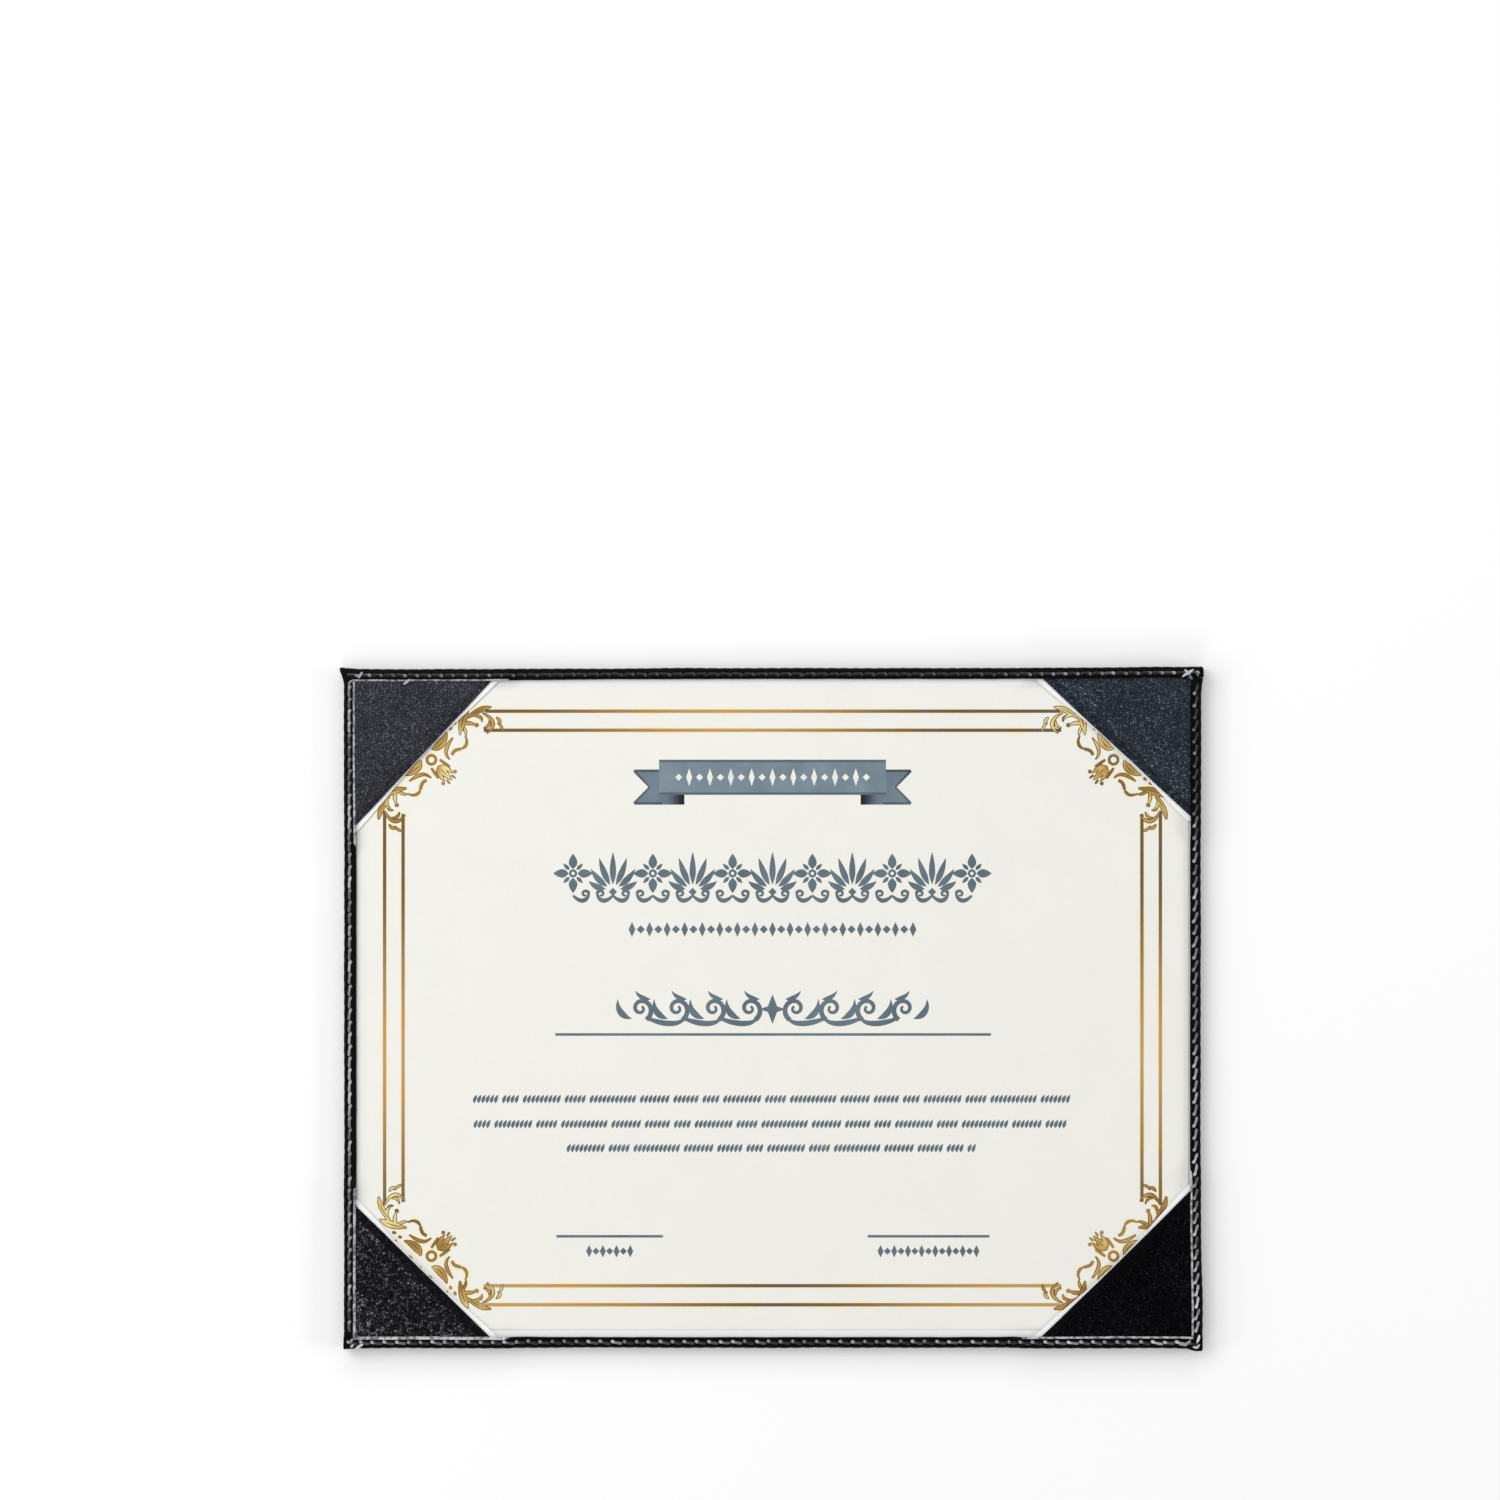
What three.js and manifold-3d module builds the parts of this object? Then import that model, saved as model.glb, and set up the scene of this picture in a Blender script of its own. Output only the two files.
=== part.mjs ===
// Certificate holder: a stiff board covered in black leatherette, with a bound and sewn rim, four
// corner pockets and one certificate lying loose in them.
// Millimetres, +Z up. The holder lies on its back. The long side runs along X, the certificate's
// top edge faces +Y, and the origin is the middle of the plane that the holder lies on.

import * as THREE from 'three';
import { mergeVertices } from 'three/addons/utils/BufferGeometryUtils.js';
import Module from 'manifold-3d';

const wasm = await Module();
wasm.setup();

// Certificate: one landscape sheet of letter paper.
const sheetLength = 279.4;
const sheetWidth = 215.9;
const sheetThickness = 0.25;

// Free room between an edge of the sheet and the rim, at the short and at the long edges.
const endPlay = 0.5;
const sidePlay = 2.5;

// Rim binding: a leatherette strip folded round the edge of the board.
const rimWidth = 3.7;
const bindingThickness = 0.7;
const foldRadius = 1.0;

// Sheets of the panel, from the back to the front.
const coverThickness = 0.7;
const boardThickness = 2.0;
const liningThickness = 0.2;

// Strip sewn in under the rim, which gives the pockets their depth.
const weltThickness = 0.7;
const weltSetback = 0.3;

// Corner pockets: leatherette over a white lining that shows along the diagonal.
const pocketThickness = 0.7;
const pocketLiningThickness = 0.2;
const liningShow = 1.2;

// Leg lengths of each pocket, from the inner corner of the rim to the ends of the diagonal.
const corners = {
  top_left: { side: -1, end: 1, alongX: 46.5, alongY: 49.5 },
  top_right: { side: 1, end: 1, alongX: 49.5, alongY: 46 },
  bottom_left: { side: -1, end: -1, alongX: 45.5, alongY: 44.5 },
  bottom_right: { side: 1, end: -1, alongX: 51, alongY: 50 },
};

// Seam: slanted stitches in a shallow channel of the rim, and a straight thread on the back.
const seamInset = 2.2;
const stitchPitch = 4.0;
const stitchShare = 0.8;
const stitchSlant = 0.9;
const threadWidth = 0.7;
const threadHeight = 0.5;
const channelDepth = 0.25;
const bobbinHeight = 0.3;
const bobbinChannelDepth = 0.4;
const threadClearance = 0.1;
const seamEndInset = 1.2;

// Lock stitches across the butt joints of the rim, with the slant of each bar in degrees.
const tackLength = 2.4;
const tackWidth = 0.6;
const tackHeight = 0.35;
const tackInset = 0.55;
const tackBars = { top_left: [20], top_right: [35, -35], bottom_left: [40], bottom_right: [-15] };

// Where the rim comes down from a pocket to the welt.
const rampStart = 0.6;
const rampLength = 4.0;

// Film of glue or air between neighbouring pieces.
const glueLine = 0.05;
const buttGap = 0.1;
const arcSteps = 4;

// Heights of the stack.
const coverBottom = bindingThickness + glueLine;
const boardBottom = coverBottom + coverThickness + glueLine;
const liningBottom = boardBottom + boardThickness + glueLine;
const sheetBottom = liningBottom + liningThickness + glueLine;
const pocketLiningBottom = sheetBottom + weltThickness + glueLine;
const pocketBottom = pocketLiningBottom + pocketLiningThickness + glueLine;
const rimBottom = pocketLiningBottom;
const rimHeight = rimBottom + bindingThickness;
const pocketLift = pocketBottom + pocketThickness + glueLine - rimBottom;

// Plan sizes of the opening inside the rim, of the panel and of the whole holder.
const openingLength = sheetLength + 2 * endPlay;
const openingWidth = sheetWidth + 2 * sidePlay;
const holderLength = openingLength + 2 * rimWidth;
const holderWidth = openingWidth + 2 * rimWidth;
const bindingWall = bindingThickness + glueLine;
const panelLength = holderLength - 2 * bindingWall;
const panelWidth = holderWidth - 2 * bindingWall;
const pocketMargin = rimWidth - bindingWall;

const leatherette = (color) => new THREE.MeshStandardMaterial({ color, roughness: 0.55, metalness: 0 });
const paper = (color) => new THREE.MeshStandardMaterial({ color, roughness: 0.9, metalness: 0 });
const thread = () => new THREE.MeshStandardMaterial({ color: 0xa9a9ad, roughness: 0.7, metalness: 0 });

const holder = new THREE.Group();

function addPiece(parent, name, geometry, material, bottom = 0) {
  const piece = new THREE.Mesh(geometry, material);
  piece.name = name;
  piece.position.z = bottom;
  parent.add(piece);
  return piece;
}

// A closed geometry as a solid that can be cut and joined.
function solidOf(geometry) {
  const bare = geometry.clone();
  bare.deleteAttribute('normal');
  bare.deleteAttribute('uv');
  const merged = mergeVertices(bare);
  return new wasm.Manifold(new wasm.Mesh({
    numProp: 3,
    vertProperties: new Float32Array(merged.attributes.position.array),
    triVerts: new Uint32Array(merged.index.array),
  }));
}

function geometryOf(solid) {
  const mesh = solid.getMesh();
  const geometry = new THREE.BufferGeometry();
  geometry.setAttribute('position', new THREE.BufferAttribute(mesh.vertProperties, 3));
  geometry.setIndex(new THREE.BufferAttribute(mesh.triVerts, 1));
  geometry.computeVertexNormals();
  return geometry;
}

// A flat sheet cut to an outline, lying on z = 0.
function sheetOf(outline, thickness) {
  return new THREE.ExtrudeGeometry(new THREE.Shape(outline), { depth: thickness, bevelEnabled: false });
}

function rectangle(length, width) {
  const [x, y] = [length / 2, width / 2];
  return [[-x, -y], [x, -y], [x, y], [-x, y]].map(([px, py]) => new THREE.Vector2(px, py));
}

// A strip along X. The section gives distance in from the outer edge and height. Each station has
// its place along the strip, the lift of what lies above half height, and a shift of the section.
function stripOf(section, stations) {
  const steps = stations.length - 1;
  const geometry = new THREE.ExtrudeGeometry(section, {
    depth: 1, steps, curveSegments: arcSteps, bevelEnabled: false,
  });
  const position = geometry.attributes.position;
  for (let i = 0; i < position.count; i += 1) {
    const { along, lift, shift = 0 } = stations[Math.round(position.getZ(i) * steps)];
    const height = position.getY(i);
    const raised = height > rimHeight / 2 ? height + lift : height;
    position.setXYZ(i, along, position.getX(i) + shift, raised);
  }
  geometry.computeVertexNormals();
  return geometry;
}

// How far a pocket's outline reaches along one leg, out under the rim, where the leg and the other
// leg are measured from the rim's inner corner.
const reachUnderRim = (leg, otherLeg) => leg * (1 + pocketMargin / otherLeg);

// The legs of a pocket's lining, whose diagonal lies parallel to the leather's and further in.
function liningLegs({ alongX, alongY }) {
  const growth = 1 + liningShow * Math.hypot(alongX, alongY) / (alongX * alongY);
  return { alongX: alongX * growth, alongY: alongY * growth };
}

// A pocket's triangle, out to the edge of the panel.
function pocketOutline({ side, end }, { alongX, alongY }) {
  const point = (inX, inY) => new THREE.Vector2(
    side * (openingLength / 2 - inX),
    end * (openingWidth / 2 - inY),
  );
  return [
    point(-pocketMargin, -pocketMargin),
    point(reachUnderRim(alongX, alongY), -pocketMargin),
    point(-pocketMargin, reachUnderRim(alongY, alongX)),
  ];
}

// Heights of the rim along one side, as stations: up on the pocket at each end, down between.
function rimStations(length, opening, firstReach, lastReach) {
  const firstEnd = -opening / 2 + firstReach + rampStart;
  const lastEnd = opening / 2 - lastReach - rampStart;
  return [
    { along: -length / 2, lift: pocketLift },
    { along: firstEnd, lift: pocketLift },
    { along: firstEnd + rampLength, lift: 0 },
    { along: lastEnd - rampLength, lift: 0 },
    { along: lastEnd, lift: pocketLift },
    { along: length / 2, lift: pocketLift },
  ];
}

function liftAt(along, stations) {
  const next = stations.findIndex((station) => station.along > along);
  if (next < 1) return pocketLift;
  const [low, high] = [stations[next - 1], stations[next]];
  return THREE.MathUtils.mapLinear(along, low.along, high.along, low.lift, high.lift);
}

// The rim's section: two lips and a rounded fold, drawn solid, with a channel for each thread.
function rimSection() {
  const channelHalf = stitchSlant / 2 + threadWidth / 2 + threadClearance;
  const bobbinHalf = threadWidth / 2 + threadClearance;
  const section = new THREE.Shape();
  section.moveTo(foldRadius, 0);
  section.lineTo(seamInset - bobbinHalf, 0);
  section.lineTo(seamInset - bobbinHalf, bobbinChannelDepth);
  section.lineTo(seamInset + bobbinHalf, bobbinChannelDepth);
  section.lineTo(seamInset + bobbinHalf, 0);
  section.lineTo(rimWidth, 0);
  section.lineTo(rimWidth, rimHeight);
  section.lineTo(seamInset + channelHalf, rimHeight);
  section.lineTo(seamInset + channelHalf, rimHeight - channelDepth);
  section.lineTo(seamInset - channelHalf, rimHeight - channelDepth);
  section.lineTo(seamInset - channelHalf, rimHeight);
  section.lineTo(foldRadius, rimHeight);
  section.absarc(foldRadius, rimHeight - foldRadius, foldRadius, Math.PI / 2, Math.PI, false);
  section.absarc(foldRadius, foldRadius, foldRadius, Math.PI, 1.5 * Math.PI, false);
  return section;
}

// What the rim is folded round: the panel, the welt and the pockets, open towards the middle.
function coreSection() {
  const beyond = 2 * rimWidth;
  return new THREE.Shape([
    new THREE.Vector2(bindingThickness, bindingThickness),
    new THREE.Vector2(beyond, bindingThickness),
    new THREE.Vector2(beyond, rimBottom),
    new THREE.Vector2(bindingThickness, rimBottom),
  ]);
}

// A strip that runs to the corners has its ends folded in, and a butted one is open at its ends.
function bindingOf(stations, closedEnds) {
  const endMove = closedEnds ? -bindingThickness : rimWidth;
  const last = stations.length - 1;
  const coreStations = stations.map((station, i) => {
    const outward = i === 0 ? -endMove : 0;
    return { ...station, along: station.along + (i === last ? endMove : outward) };
  });
  const strip = solidOf(stripOf(rimSection(), stations));
  return geometryOf(strip.subtract(solidOf(stripOf(coreSection(), coreStations))));
}

// The needle thread: one slanted run for each stitch and a short step back to the next, with a
// station at each bend of the rim as well.
function needleThreadOf(length, rim) {
  const count = Math.round(length / stitchPitch);
  const pitch = length / count;
  const zigzag = [];
  for (let i = 0; i < count; i += 1) {
    const start = -length / 2 + i * pitch;
    zigzag.push({ along: start, shift: -stitchSlant / 2 });
    zigzag.push({ along: start + stitchShare * pitch, shift: stitchSlant / 2 });
  }
  zigzag.push({ along: length / 2, shift: -stitchSlant / 2 });
  const bends = rim.slice(1, -1).map(({ along }) => {
    const next = zigzag.findIndex((station) => station.along > along);
    const [low, high] = [zigzag[next - 1], zigzag[next]];
    return { along, shift: THREE.MathUtils.mapLinear(along, low.along, high.along, low.shift, high.shift) };
  });
  const stations = [...zigzag, ...bends].sort((a, b) => a.along - b.along);
  const bottom = rimHeight - channelDepth + glueLine;
  const section = new THREE.Shape([
    new THREE.Vector2(seamInset - threadWidth / 2, bottom),
    new THREE.Vector2(seamInset + threadWidth / 2, bottom),
    new THREE.Vector2(seamInset + threadWidth / 4, bottom + threadHeight),
    new THREE.Vector2(seamInset - threadWidth / 4, bottom + threadHeight),
  ]);
  return stripOf(section, stations.map((station) => ({ ...station, lift: liftAt(station.along, rim) })));
}

function bobbinThreadOf(length) {
  const bottom = bobbinChannelDepth - glueLine - bobbinHeight;
  const section = new THREE.Shape([
    new THREE.Vector2(seamInset - threadWidth / 4, bottom),
    new THREE.Vector2(seamInset + threadWidth / 4, bottom),
    new THREE.Vector2(seamInset + threadWidth / 2, bottom + bobbinHeight),
    new THREE.Vector2(seamInset - threadWidth / 2, bottom + bobbinHeight),
  ]);
  return stripOf(section, [{ along: -length / 2, lift: 0 }, { along: length / 2, lift: 0 }]);
}

// Lock stitches: one bar, or two crossed ones joined into one piece.
function tackOf(slants) {
  const bars = slants.map((slant) => {
    const bar = new THREE.BoxGeometry(tackLength, tackWidth, tackHeight);
    return solidOf(bar.rotateZ(THREE.MathUtils.degToRad(slant)).translate(0, 0, tackHeight / 2));
  });
  return geometryOf(bars.reduce((joined, bar) => joined.add(bar)));
}

// Panel: back cover, board and front lining, one on the other.
const panelOutline = rectangle(panelLength, panelWidth);
addPiece(holder, 'back_cover', sheetOf(panelOutline, coverThickness), leatherette(0x1b1c20), coverBottom);
addPiece(holder, 'stiffener_board', sheetOf(panelOutline, boardThickness), paper(0x8f8b82), boardBottom);
addPiece(holder, 'front_lining', sheetOf(panelOutline, liningThickness), paper(0xedeef0), liningBottom);

// Pockets, each on its lining.
for (const [name, corner] of Object.entries(corners)) {
  const lining = sheetOf(pocketOutline(corner, liningLegs(corner)), pocketLiningThickness);
  addPiece(holder, `pocket_lining_${name}`, lining, paper(0xf4f4f5), pocketLiningBottom);
  const leather = sheetOf(pocketOutline(corner, corner), pocketThickness);
  addPiece(holder, `pocket_${name}`, leather, leatherette(0x2e3138), pocketBottom);
}

// The four sides of the rim, each built along X as the bottom one and turned into place. Each
// names the corners that it starts and ends at, going round anticlockwise from above.
const sides = [
  { name: 'bottom', turn: 0, from: 'bottom_left', to: 'bottom_right', long: true },
  { name: 'right', turn: Math.PI / 2, from: 'bottom_right', to: 'top_right', long: false },
  { name: 'top', turn: Math.PI, from: 'top_right', to: 'top_left', long: true },
  { name: 'left', turn: -Math.PI / 2, from: 'top_left', to: 'bottom_left', long: false },
];

function reachAlong(cornerName, long) {
  const { alongX, alongY } = liningLegs(corners[cornerName]);
  return long ? reachUnderRim(alongX, alongY) : reachUnderRim(alongY, alongX);
}

for (const { name, turn, from, to, long } of sides) {
  const edge = new THREE.Group();
  edge.rotation.z = turn;
  const offset = (long ? holderWidth : holderLength) / 2;
  edge.position.set(offset * Math.sin(turn), -offset * Math.cos(turn), 0);
  holder.add(edge);

  const opening = long ? openingLength : openingWidth;
  const length = long ? holderLength : openingWidth - 2 * buttGap;
  const rim = rimStations(length, opening, reachAlong(from, long), reachAlong(to, long));
  addPiece(edge, `binding_${name}`, bindingOf(rim, long), leatherette(0x121316));

  const weltWidth = pocketMargin - weltSetback;
  const weltLength = long ? panelLength : panelWidth - 2 * (weltWidth + buttGap);
  const welt = addPiece(edge, `welt_${name}`, sheetOf(rectangle(weltLength, weltWidth), weltThickness),
    leatherette(0x1b1c20), sheetBottom);
  welt.position.y = bindingWall + weltWidth / 2;

  const tackRoom = tackInset + tackLength / 2 + threadClearance;
  const seamLength = long ? holderLength - 2 * seamEndInset : openingWidth - 2 * tackRoom;
  addPiece(edge, `needle_thread_${name}`, needleThreadOf(seamLength, rim), thread());
  addPiece(edge, `bobbin_thread_${name}`, bobbinThreadOf(seamLength), thread());

  // The butt joints are at the ends of the side strips.
  if (long) continue;
  for (const [cornerName, towards] of [[from, -1], [to, 1]]) {
    const tack = addPiece(edge, `corner_tack_${cornerName}`, tackOf(tackBars[cornerName]), thread(),
      rimHeight + pocketLift + glueLine);
    tack.position.x = towards * (openingWidth / 2 - tackInset);
    tack.position.y = seamInset;
  }
}

// The certificate, loose between the lining and the pockets.
const sheet = new THREE.BoxGeometry(sheetLength, sheetWidth, sheetThickness);
addPiece(holder, 'certificate_sheet', sheet, paper(0xeeede6), sheetBottom + sheetThickness / 2);

export default holder;
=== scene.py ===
import cmath
import math
from collections import namedtuple
from functools import partial

import bmesh
import bpy
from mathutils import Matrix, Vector, noise


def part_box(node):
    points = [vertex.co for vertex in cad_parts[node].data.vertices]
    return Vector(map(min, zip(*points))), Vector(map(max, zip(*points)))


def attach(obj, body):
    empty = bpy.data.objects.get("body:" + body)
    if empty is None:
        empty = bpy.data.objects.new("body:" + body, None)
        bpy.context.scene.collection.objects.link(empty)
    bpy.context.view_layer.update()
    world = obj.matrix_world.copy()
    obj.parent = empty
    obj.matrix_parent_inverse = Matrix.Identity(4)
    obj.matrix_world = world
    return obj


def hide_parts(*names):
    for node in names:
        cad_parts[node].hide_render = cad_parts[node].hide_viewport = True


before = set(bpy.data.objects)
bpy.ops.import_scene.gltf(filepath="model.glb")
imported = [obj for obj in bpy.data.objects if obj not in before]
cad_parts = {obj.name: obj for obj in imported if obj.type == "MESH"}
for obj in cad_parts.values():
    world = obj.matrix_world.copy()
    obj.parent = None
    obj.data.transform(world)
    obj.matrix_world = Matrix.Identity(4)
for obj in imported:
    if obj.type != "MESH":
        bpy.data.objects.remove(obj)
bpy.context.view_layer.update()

bl_info = {
    "name": "Certificate Holder Looks",
    "version": (1, 0, 0),
    "blender": (4, 5, 0),
    "location": "3D View > Sidebar > Certificate Holder",
    "description": "Finishes a leatherette certificate holder: sewn rim, corner pockets and printed sheet",
    "category": "Object",
}

MM = 0.001

# Sizes that the CAD model sets, in metres. The holder lies on its back on z = 0.
COVER_LOW, COVER_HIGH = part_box("back_cover")
STRIP_LOW, STRIP_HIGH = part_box("binding_bottom")
SHEET_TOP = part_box("certificate_sheet")[1].z
POCKET_BOTTOM, POCKET_TOP = (corner.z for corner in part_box("pocket_top_left"))
LINING_BOTTOM, LINING_TOP = (corner.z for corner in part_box("pocket_lining_top_left"))
LEATHER = COVER_HIGH.z - COVER_LOW.z
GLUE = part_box("stiffener_board")[0].z - COVER_HIGH.z
HALF_LENGTH, HALF_WIDTH = (STRIP_HIGH.x - STRIP_LOW.x) / 2, -STRIP_LOW.y
RIM_WIDTH = STRIP_HIGH.y - STRIP_LOW.y
OPENING_X, OPENING_Y = HALF_LENGTH - RIM_WIDTH, HALF_WIDTH - RIM_WIDTH
RIM_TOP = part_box("welt_bottom")[1].z + GLUE + LEATHER
POCKET_LIFT = STRIP_HIGH.z - RIM_TOP
BUTT_GAP = OPENING_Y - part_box("binding_left")[1].y

# The four sides of the rim, anticlockwise from above. A side's own directions are along it and
# across it, from its outer edge inwards, and turn is how far it is turned from the bottom side.
# Values in threes are for the side's start, middle and end: reaches is how far the lip reaches
# in past its plain width, in mm, tones is the thread's brightness, 0 dark and 1 pale, painted
# lighter or darker on each side as the light falls on it, and fades how much painted shade
# darkens each stitch towards its tail. pales is how much of the cut edge's full width shows over
# the pockets at the start and the end, and slant how far the stitches turn out of the seam's
# line, in degrees.
Side = namedtuple("Side", "name turn start end long reaches pales tones fades slant")
SIDES = (
    Side("bottom", 0.0, "bottom_left", "bottom_right", True,
         (0.3, 0.0, 0.35), (1.1, 0.55), (0.8, 0.74, 0.9), (14.0, 14.0, 14.0), -13.0),
    Side("right", math.pi / 2, "bottom_right", "top_right", False,
         (0.0, 0.0, 0.0), (0.7, 0.0), (0.82, 0.7, 0.58), (5.0, 2.0, 10.0), -20.0),
    Side("top", math.pi, "top_right", "top_left", True,
         (0.0, 0.0, 0.3), (0.0, 0.5), (0.76, 0.34, 0.64), (12.0, 12.0, 12.0), -5.0),
    Side("left", -math.pi / 2, "top_left", "bottom_left", False,
         (0.1, 0.45, 0.35), (0.75, 0.9), (0.7, 0.74, 0.7), (2.0, 1.2, 3.0), -8.0),
)
CORNER_SIGNS = {"top_left": (-1, 1), "top_right": (1, 1), "bottom_left": (-1, -1), "bottom_right": (1, -1)}
LINING_BOXES = {name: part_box(f"pocket_lining_{name}") for name in CORNER_SIGNS}
SEAM_BOXES = {side.name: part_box(f"needle_thread_{side.name}") for side in SIDES}

# Rim binding. The cut edge's shape is given as shares of its width, going out from the lip's
# inner edge, and of the leatherette's thickness, going down.
FOLD_RADIUS = 1.0 * MM
FOLD_STEPS = 6
FOLD_BULGE = 0.1 * MM
SEAM_INSET = 2.2 * MM
SEAM_OFFSETS = [offset * MM for offset in (0.66, 0.42, 0.24, 0.1, 0.0, -0.1, -0.24, -0.42, -0.66, -0.92)]
GROOVE_SOFTNESS = 0.34 * MM
BACK_SOFTNESS = 0.408 * MM
BACK_GROOVE = 0.36 * MM
BACK_EDGE = 0.12 * MM
CUT_EDGE_RISE = 0.03 * MM
CUT_EDGE_SHAPE = ((0.0, 1.0), (0.15, 0.55), (0.6, 0.16), (1.0, -CUT_EDGE_RISE / LEATHER))
CUT_EDGE_PLAIN = 0.2 * MM
PALE_FADE, PALE_OVERLAP = 2 * MM, 0.4 * MM  # how far the pale edge fades, and runs on past the opening
PALE_FROM = 0.2  # how much of it has to show for the lip's edge to have the pale material
INSIDE_EASE = 0.25 * MM
RING_STEP = 0.45 * MM
RAMP_START = 0.6 * MM
RAMP_LENGTH = 4.0 * MM
END_RADIUS = 0.35 * MM
END_STEPS = [share * END_RADIUS for share in (0.0, 0.06, 0.2, 0.42, 0.68)]
FOLD_WAVE, LIP_WAVE, SAG_WAVE = 16 * MM, 7 * MM, 3.5 * MM
LIP_SWAY = 0.6  # as a share of how far the fold sways
SAG, SAG_DOWN_TO = 0.05 * MM, 0.3 * MM  # how far the top sags, and how far down that counts as the top

# How the corners were pulled out of square as the strips were folded in: the place of the pull in
# from the short and the long edge, how far it goes outwards in x and y, and how wide it acts, in mm.
CORNER_PULLS = (
    ("top_left", (0.0, 0.2), (1.35, 0.45), 2.4),
    ("top_left", (20.0, 0.0), (0.0, -0.4), 60.0),
    ("top_right", (0.0, 2.6), (0.75, 0.1), 4.2),
    ("top_right", (0.0, 0.0), (0.0, 0.5), 40.0),
    ("bottom_left", (0.6, 0.0), (0.15, 0.35), 2.5),
    ("bottom_right", (1.6, 0.0), (0.1, 1.0), 2.8),
    ("bottom_right", (0.0, 12.0), (0.5, 0.0), 18.0),
)

# Stitches: points along one and round its thread, the twist of its plies and how proud they are,
# the share of its length that its head takes and how soon it thins, and its width at the ends.
STITCH_STEPS, STITCH_SIDES = 9, 6
STITCH_TWIST, PLY_SWELL = 4.5, 0.12
STITCH_HEAD, STITCH_THINNING, STITCH_ENDS = 0.14, 0.3, 0.45

# How deep a stitch's ends dive, what share of that its tail lies lower, how high it lies, and its
# random differences from the next: slant in degrees, and length and brightness as shares.
NEEDLE_SINK, BOBBIN_SINK, TAIL_DROP = 0.45 * MM, 0.12 * MM, 0.3
NEEDLE_LIE, BOBBIN_LIE = 0.2 * MM, 0.28 * MM
NEEDLE_SPREAD, BOBBIN_SPREAD, LENGTH_SPREAD, TONE_SPREAD = 5.0, 2.0, 0.07, 0.14

# The bobbin thread's length as a share of the pitch, its flatness as a share of the needle
# thread's, and its brightness. Then how strong the slow random changes in a seam's brightness are, and how
# many run along a seam.
BOBBIN_LENGTH, BOBBIN_FLATNESS, BOBBIN_TONE = 0.94, 0.6, 0.6
TONE_WANDER, TONE_WANDER_WAVES = 0.16, 9

# Lock stitches at the corners: a brightness and a run of points in from the short and the long
# edge, in mm. Then a run's points from one to the next and round its thread, its twist, its
# thickness at the ends and what it gains between as shares of the thread's width, and how high it
# lies, how much higher each one over it, and how far its ends dive.
LOCK_STEPS, LOCK_SIDES, LOCK_TWIST = 6, 10, 9.0
LOCK_THIN, LOCK_SWELL = 0.25, 0.27
LOCK_RISE, LOCK_OVER, LOCK_DIVE = 0.3 * MM, 0.12 * MM, 0.45 * MM
LOCK_STITCHES = {
    "top_left": [(0.8, (5.1, 3.4), (6.3, 1.4)), (0.6, (3.5, 3.9), (2.2, 4.8), (1.8, 6.0)),
                 (0.85, (22.3, 3.8), (21.4, 4.6), (20.2, 5.5))],
    "top_right": [(0.95, (2.8, 0.5), (6.5, 2.9)), (0.85, (5.7, 0.6), (3.8, 2.2)),
                  (0.5, (4.3, 2.6), (3.2, 3.7)), (0.5, (1.5, 1.4), (1.3, 2.6))],
    "bottom_left": [(0.98, (4.1, 0.1), (6.7, 1.7)), (0.85, (2.5, 0.6), (3.4, 1.5)),
                    (0.7, (2.4, 2.2), (3.1, 3.4))],
    "bottom_right": [(0.98, (0.8, 4.6), (1.1, 3.3), (1.6, 2.0)), (0.9, (0.8, 1.4), (1.6, 0.5), (2.9, 0.6)),
                     (0.7, (7.6, 1.6), (5.4, 1.4), (3.8, 3.0))],
}

# Corner pockets. For each: specular level, how uneven the painted sheen of its pebbles is, how
# strong the painted shade along its hem is, and how far its diagonal edge was sewn back from the straight
# line.
POCKET_LOOKS = (
    ("top_left", 0.12, 0.5, 0.25, 0.0),
    ("top_right", 0.1, 0.7, 0.4, 0.0),
    ("bottom_left", 0.04, 0.9, 0.9, 0.0),
    ("bottom_right", 0.02, 0.7, 0.5, 0.8 * MM),
)
POCKET_COLUMNS, LINING_COLUMNS = 150, 60
POCKET_STEP = 0.5 * MM
PINNED = 3 * MM  # how far in from the rim the leather is held down
DOME_REACH = 14 * MM
RIPPLE_WAVES = (11 * MM, 5 * MM)
EDGE_SWAY, EDGE_WAVE, EDGE_REACH = 0.1 * MM, 9 * MM, 4 * MM
HOLLOW_DEPTH = 2.6  # how far the lining's edge lies back in between, as a share of its swing out

# The hem along a pocket's diagonal. Its edge is given in mm in and as a share of the way up.
HEM_WIDTH, HEM_SOFTNESS = 2.8 * MM, 0.5 * MM
HEM_STEPS = [step * MM for step in (0.25, 0.5, 0.8, 1.2, 1.6, 2.0, 2.3, 2.5, 2.65, 2.8, 2.95, 3.15, 3.4)]
HEM_EDGE = ((0.12, 0.0), (0.03, 0.18), (0.0, 0.5), (0.03, 0.82), (0.1, 0.96))
HEM_FADE = 1.2 * MM  # how far in from the rim the hem is flat
CREASE_PLACE, CREASE_WIDTH, CREASE_DEPTH = HEM_WIDTH + 0.3 * MM, 0.25 * MM, 0.12 * MM
SKIVED_WIDTH = 1.2 * MM
# Painted shade along a pocket's hem: how far in it reaches, how softly it ends, and its colour.
HEM_SHADE_WIDTH, HEM_SHADE_SOFTNESS = HEM_WIDTH - 0.2 * MM, 0.6 * MM
HEM_SHADE_BLACK = "#0d0d10"
LINING_STEPS = [step * MM for step in (0.0, 0.4, 0.8, 1.2, 1.6)]
LINING_FADE = 2 * MM

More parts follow.
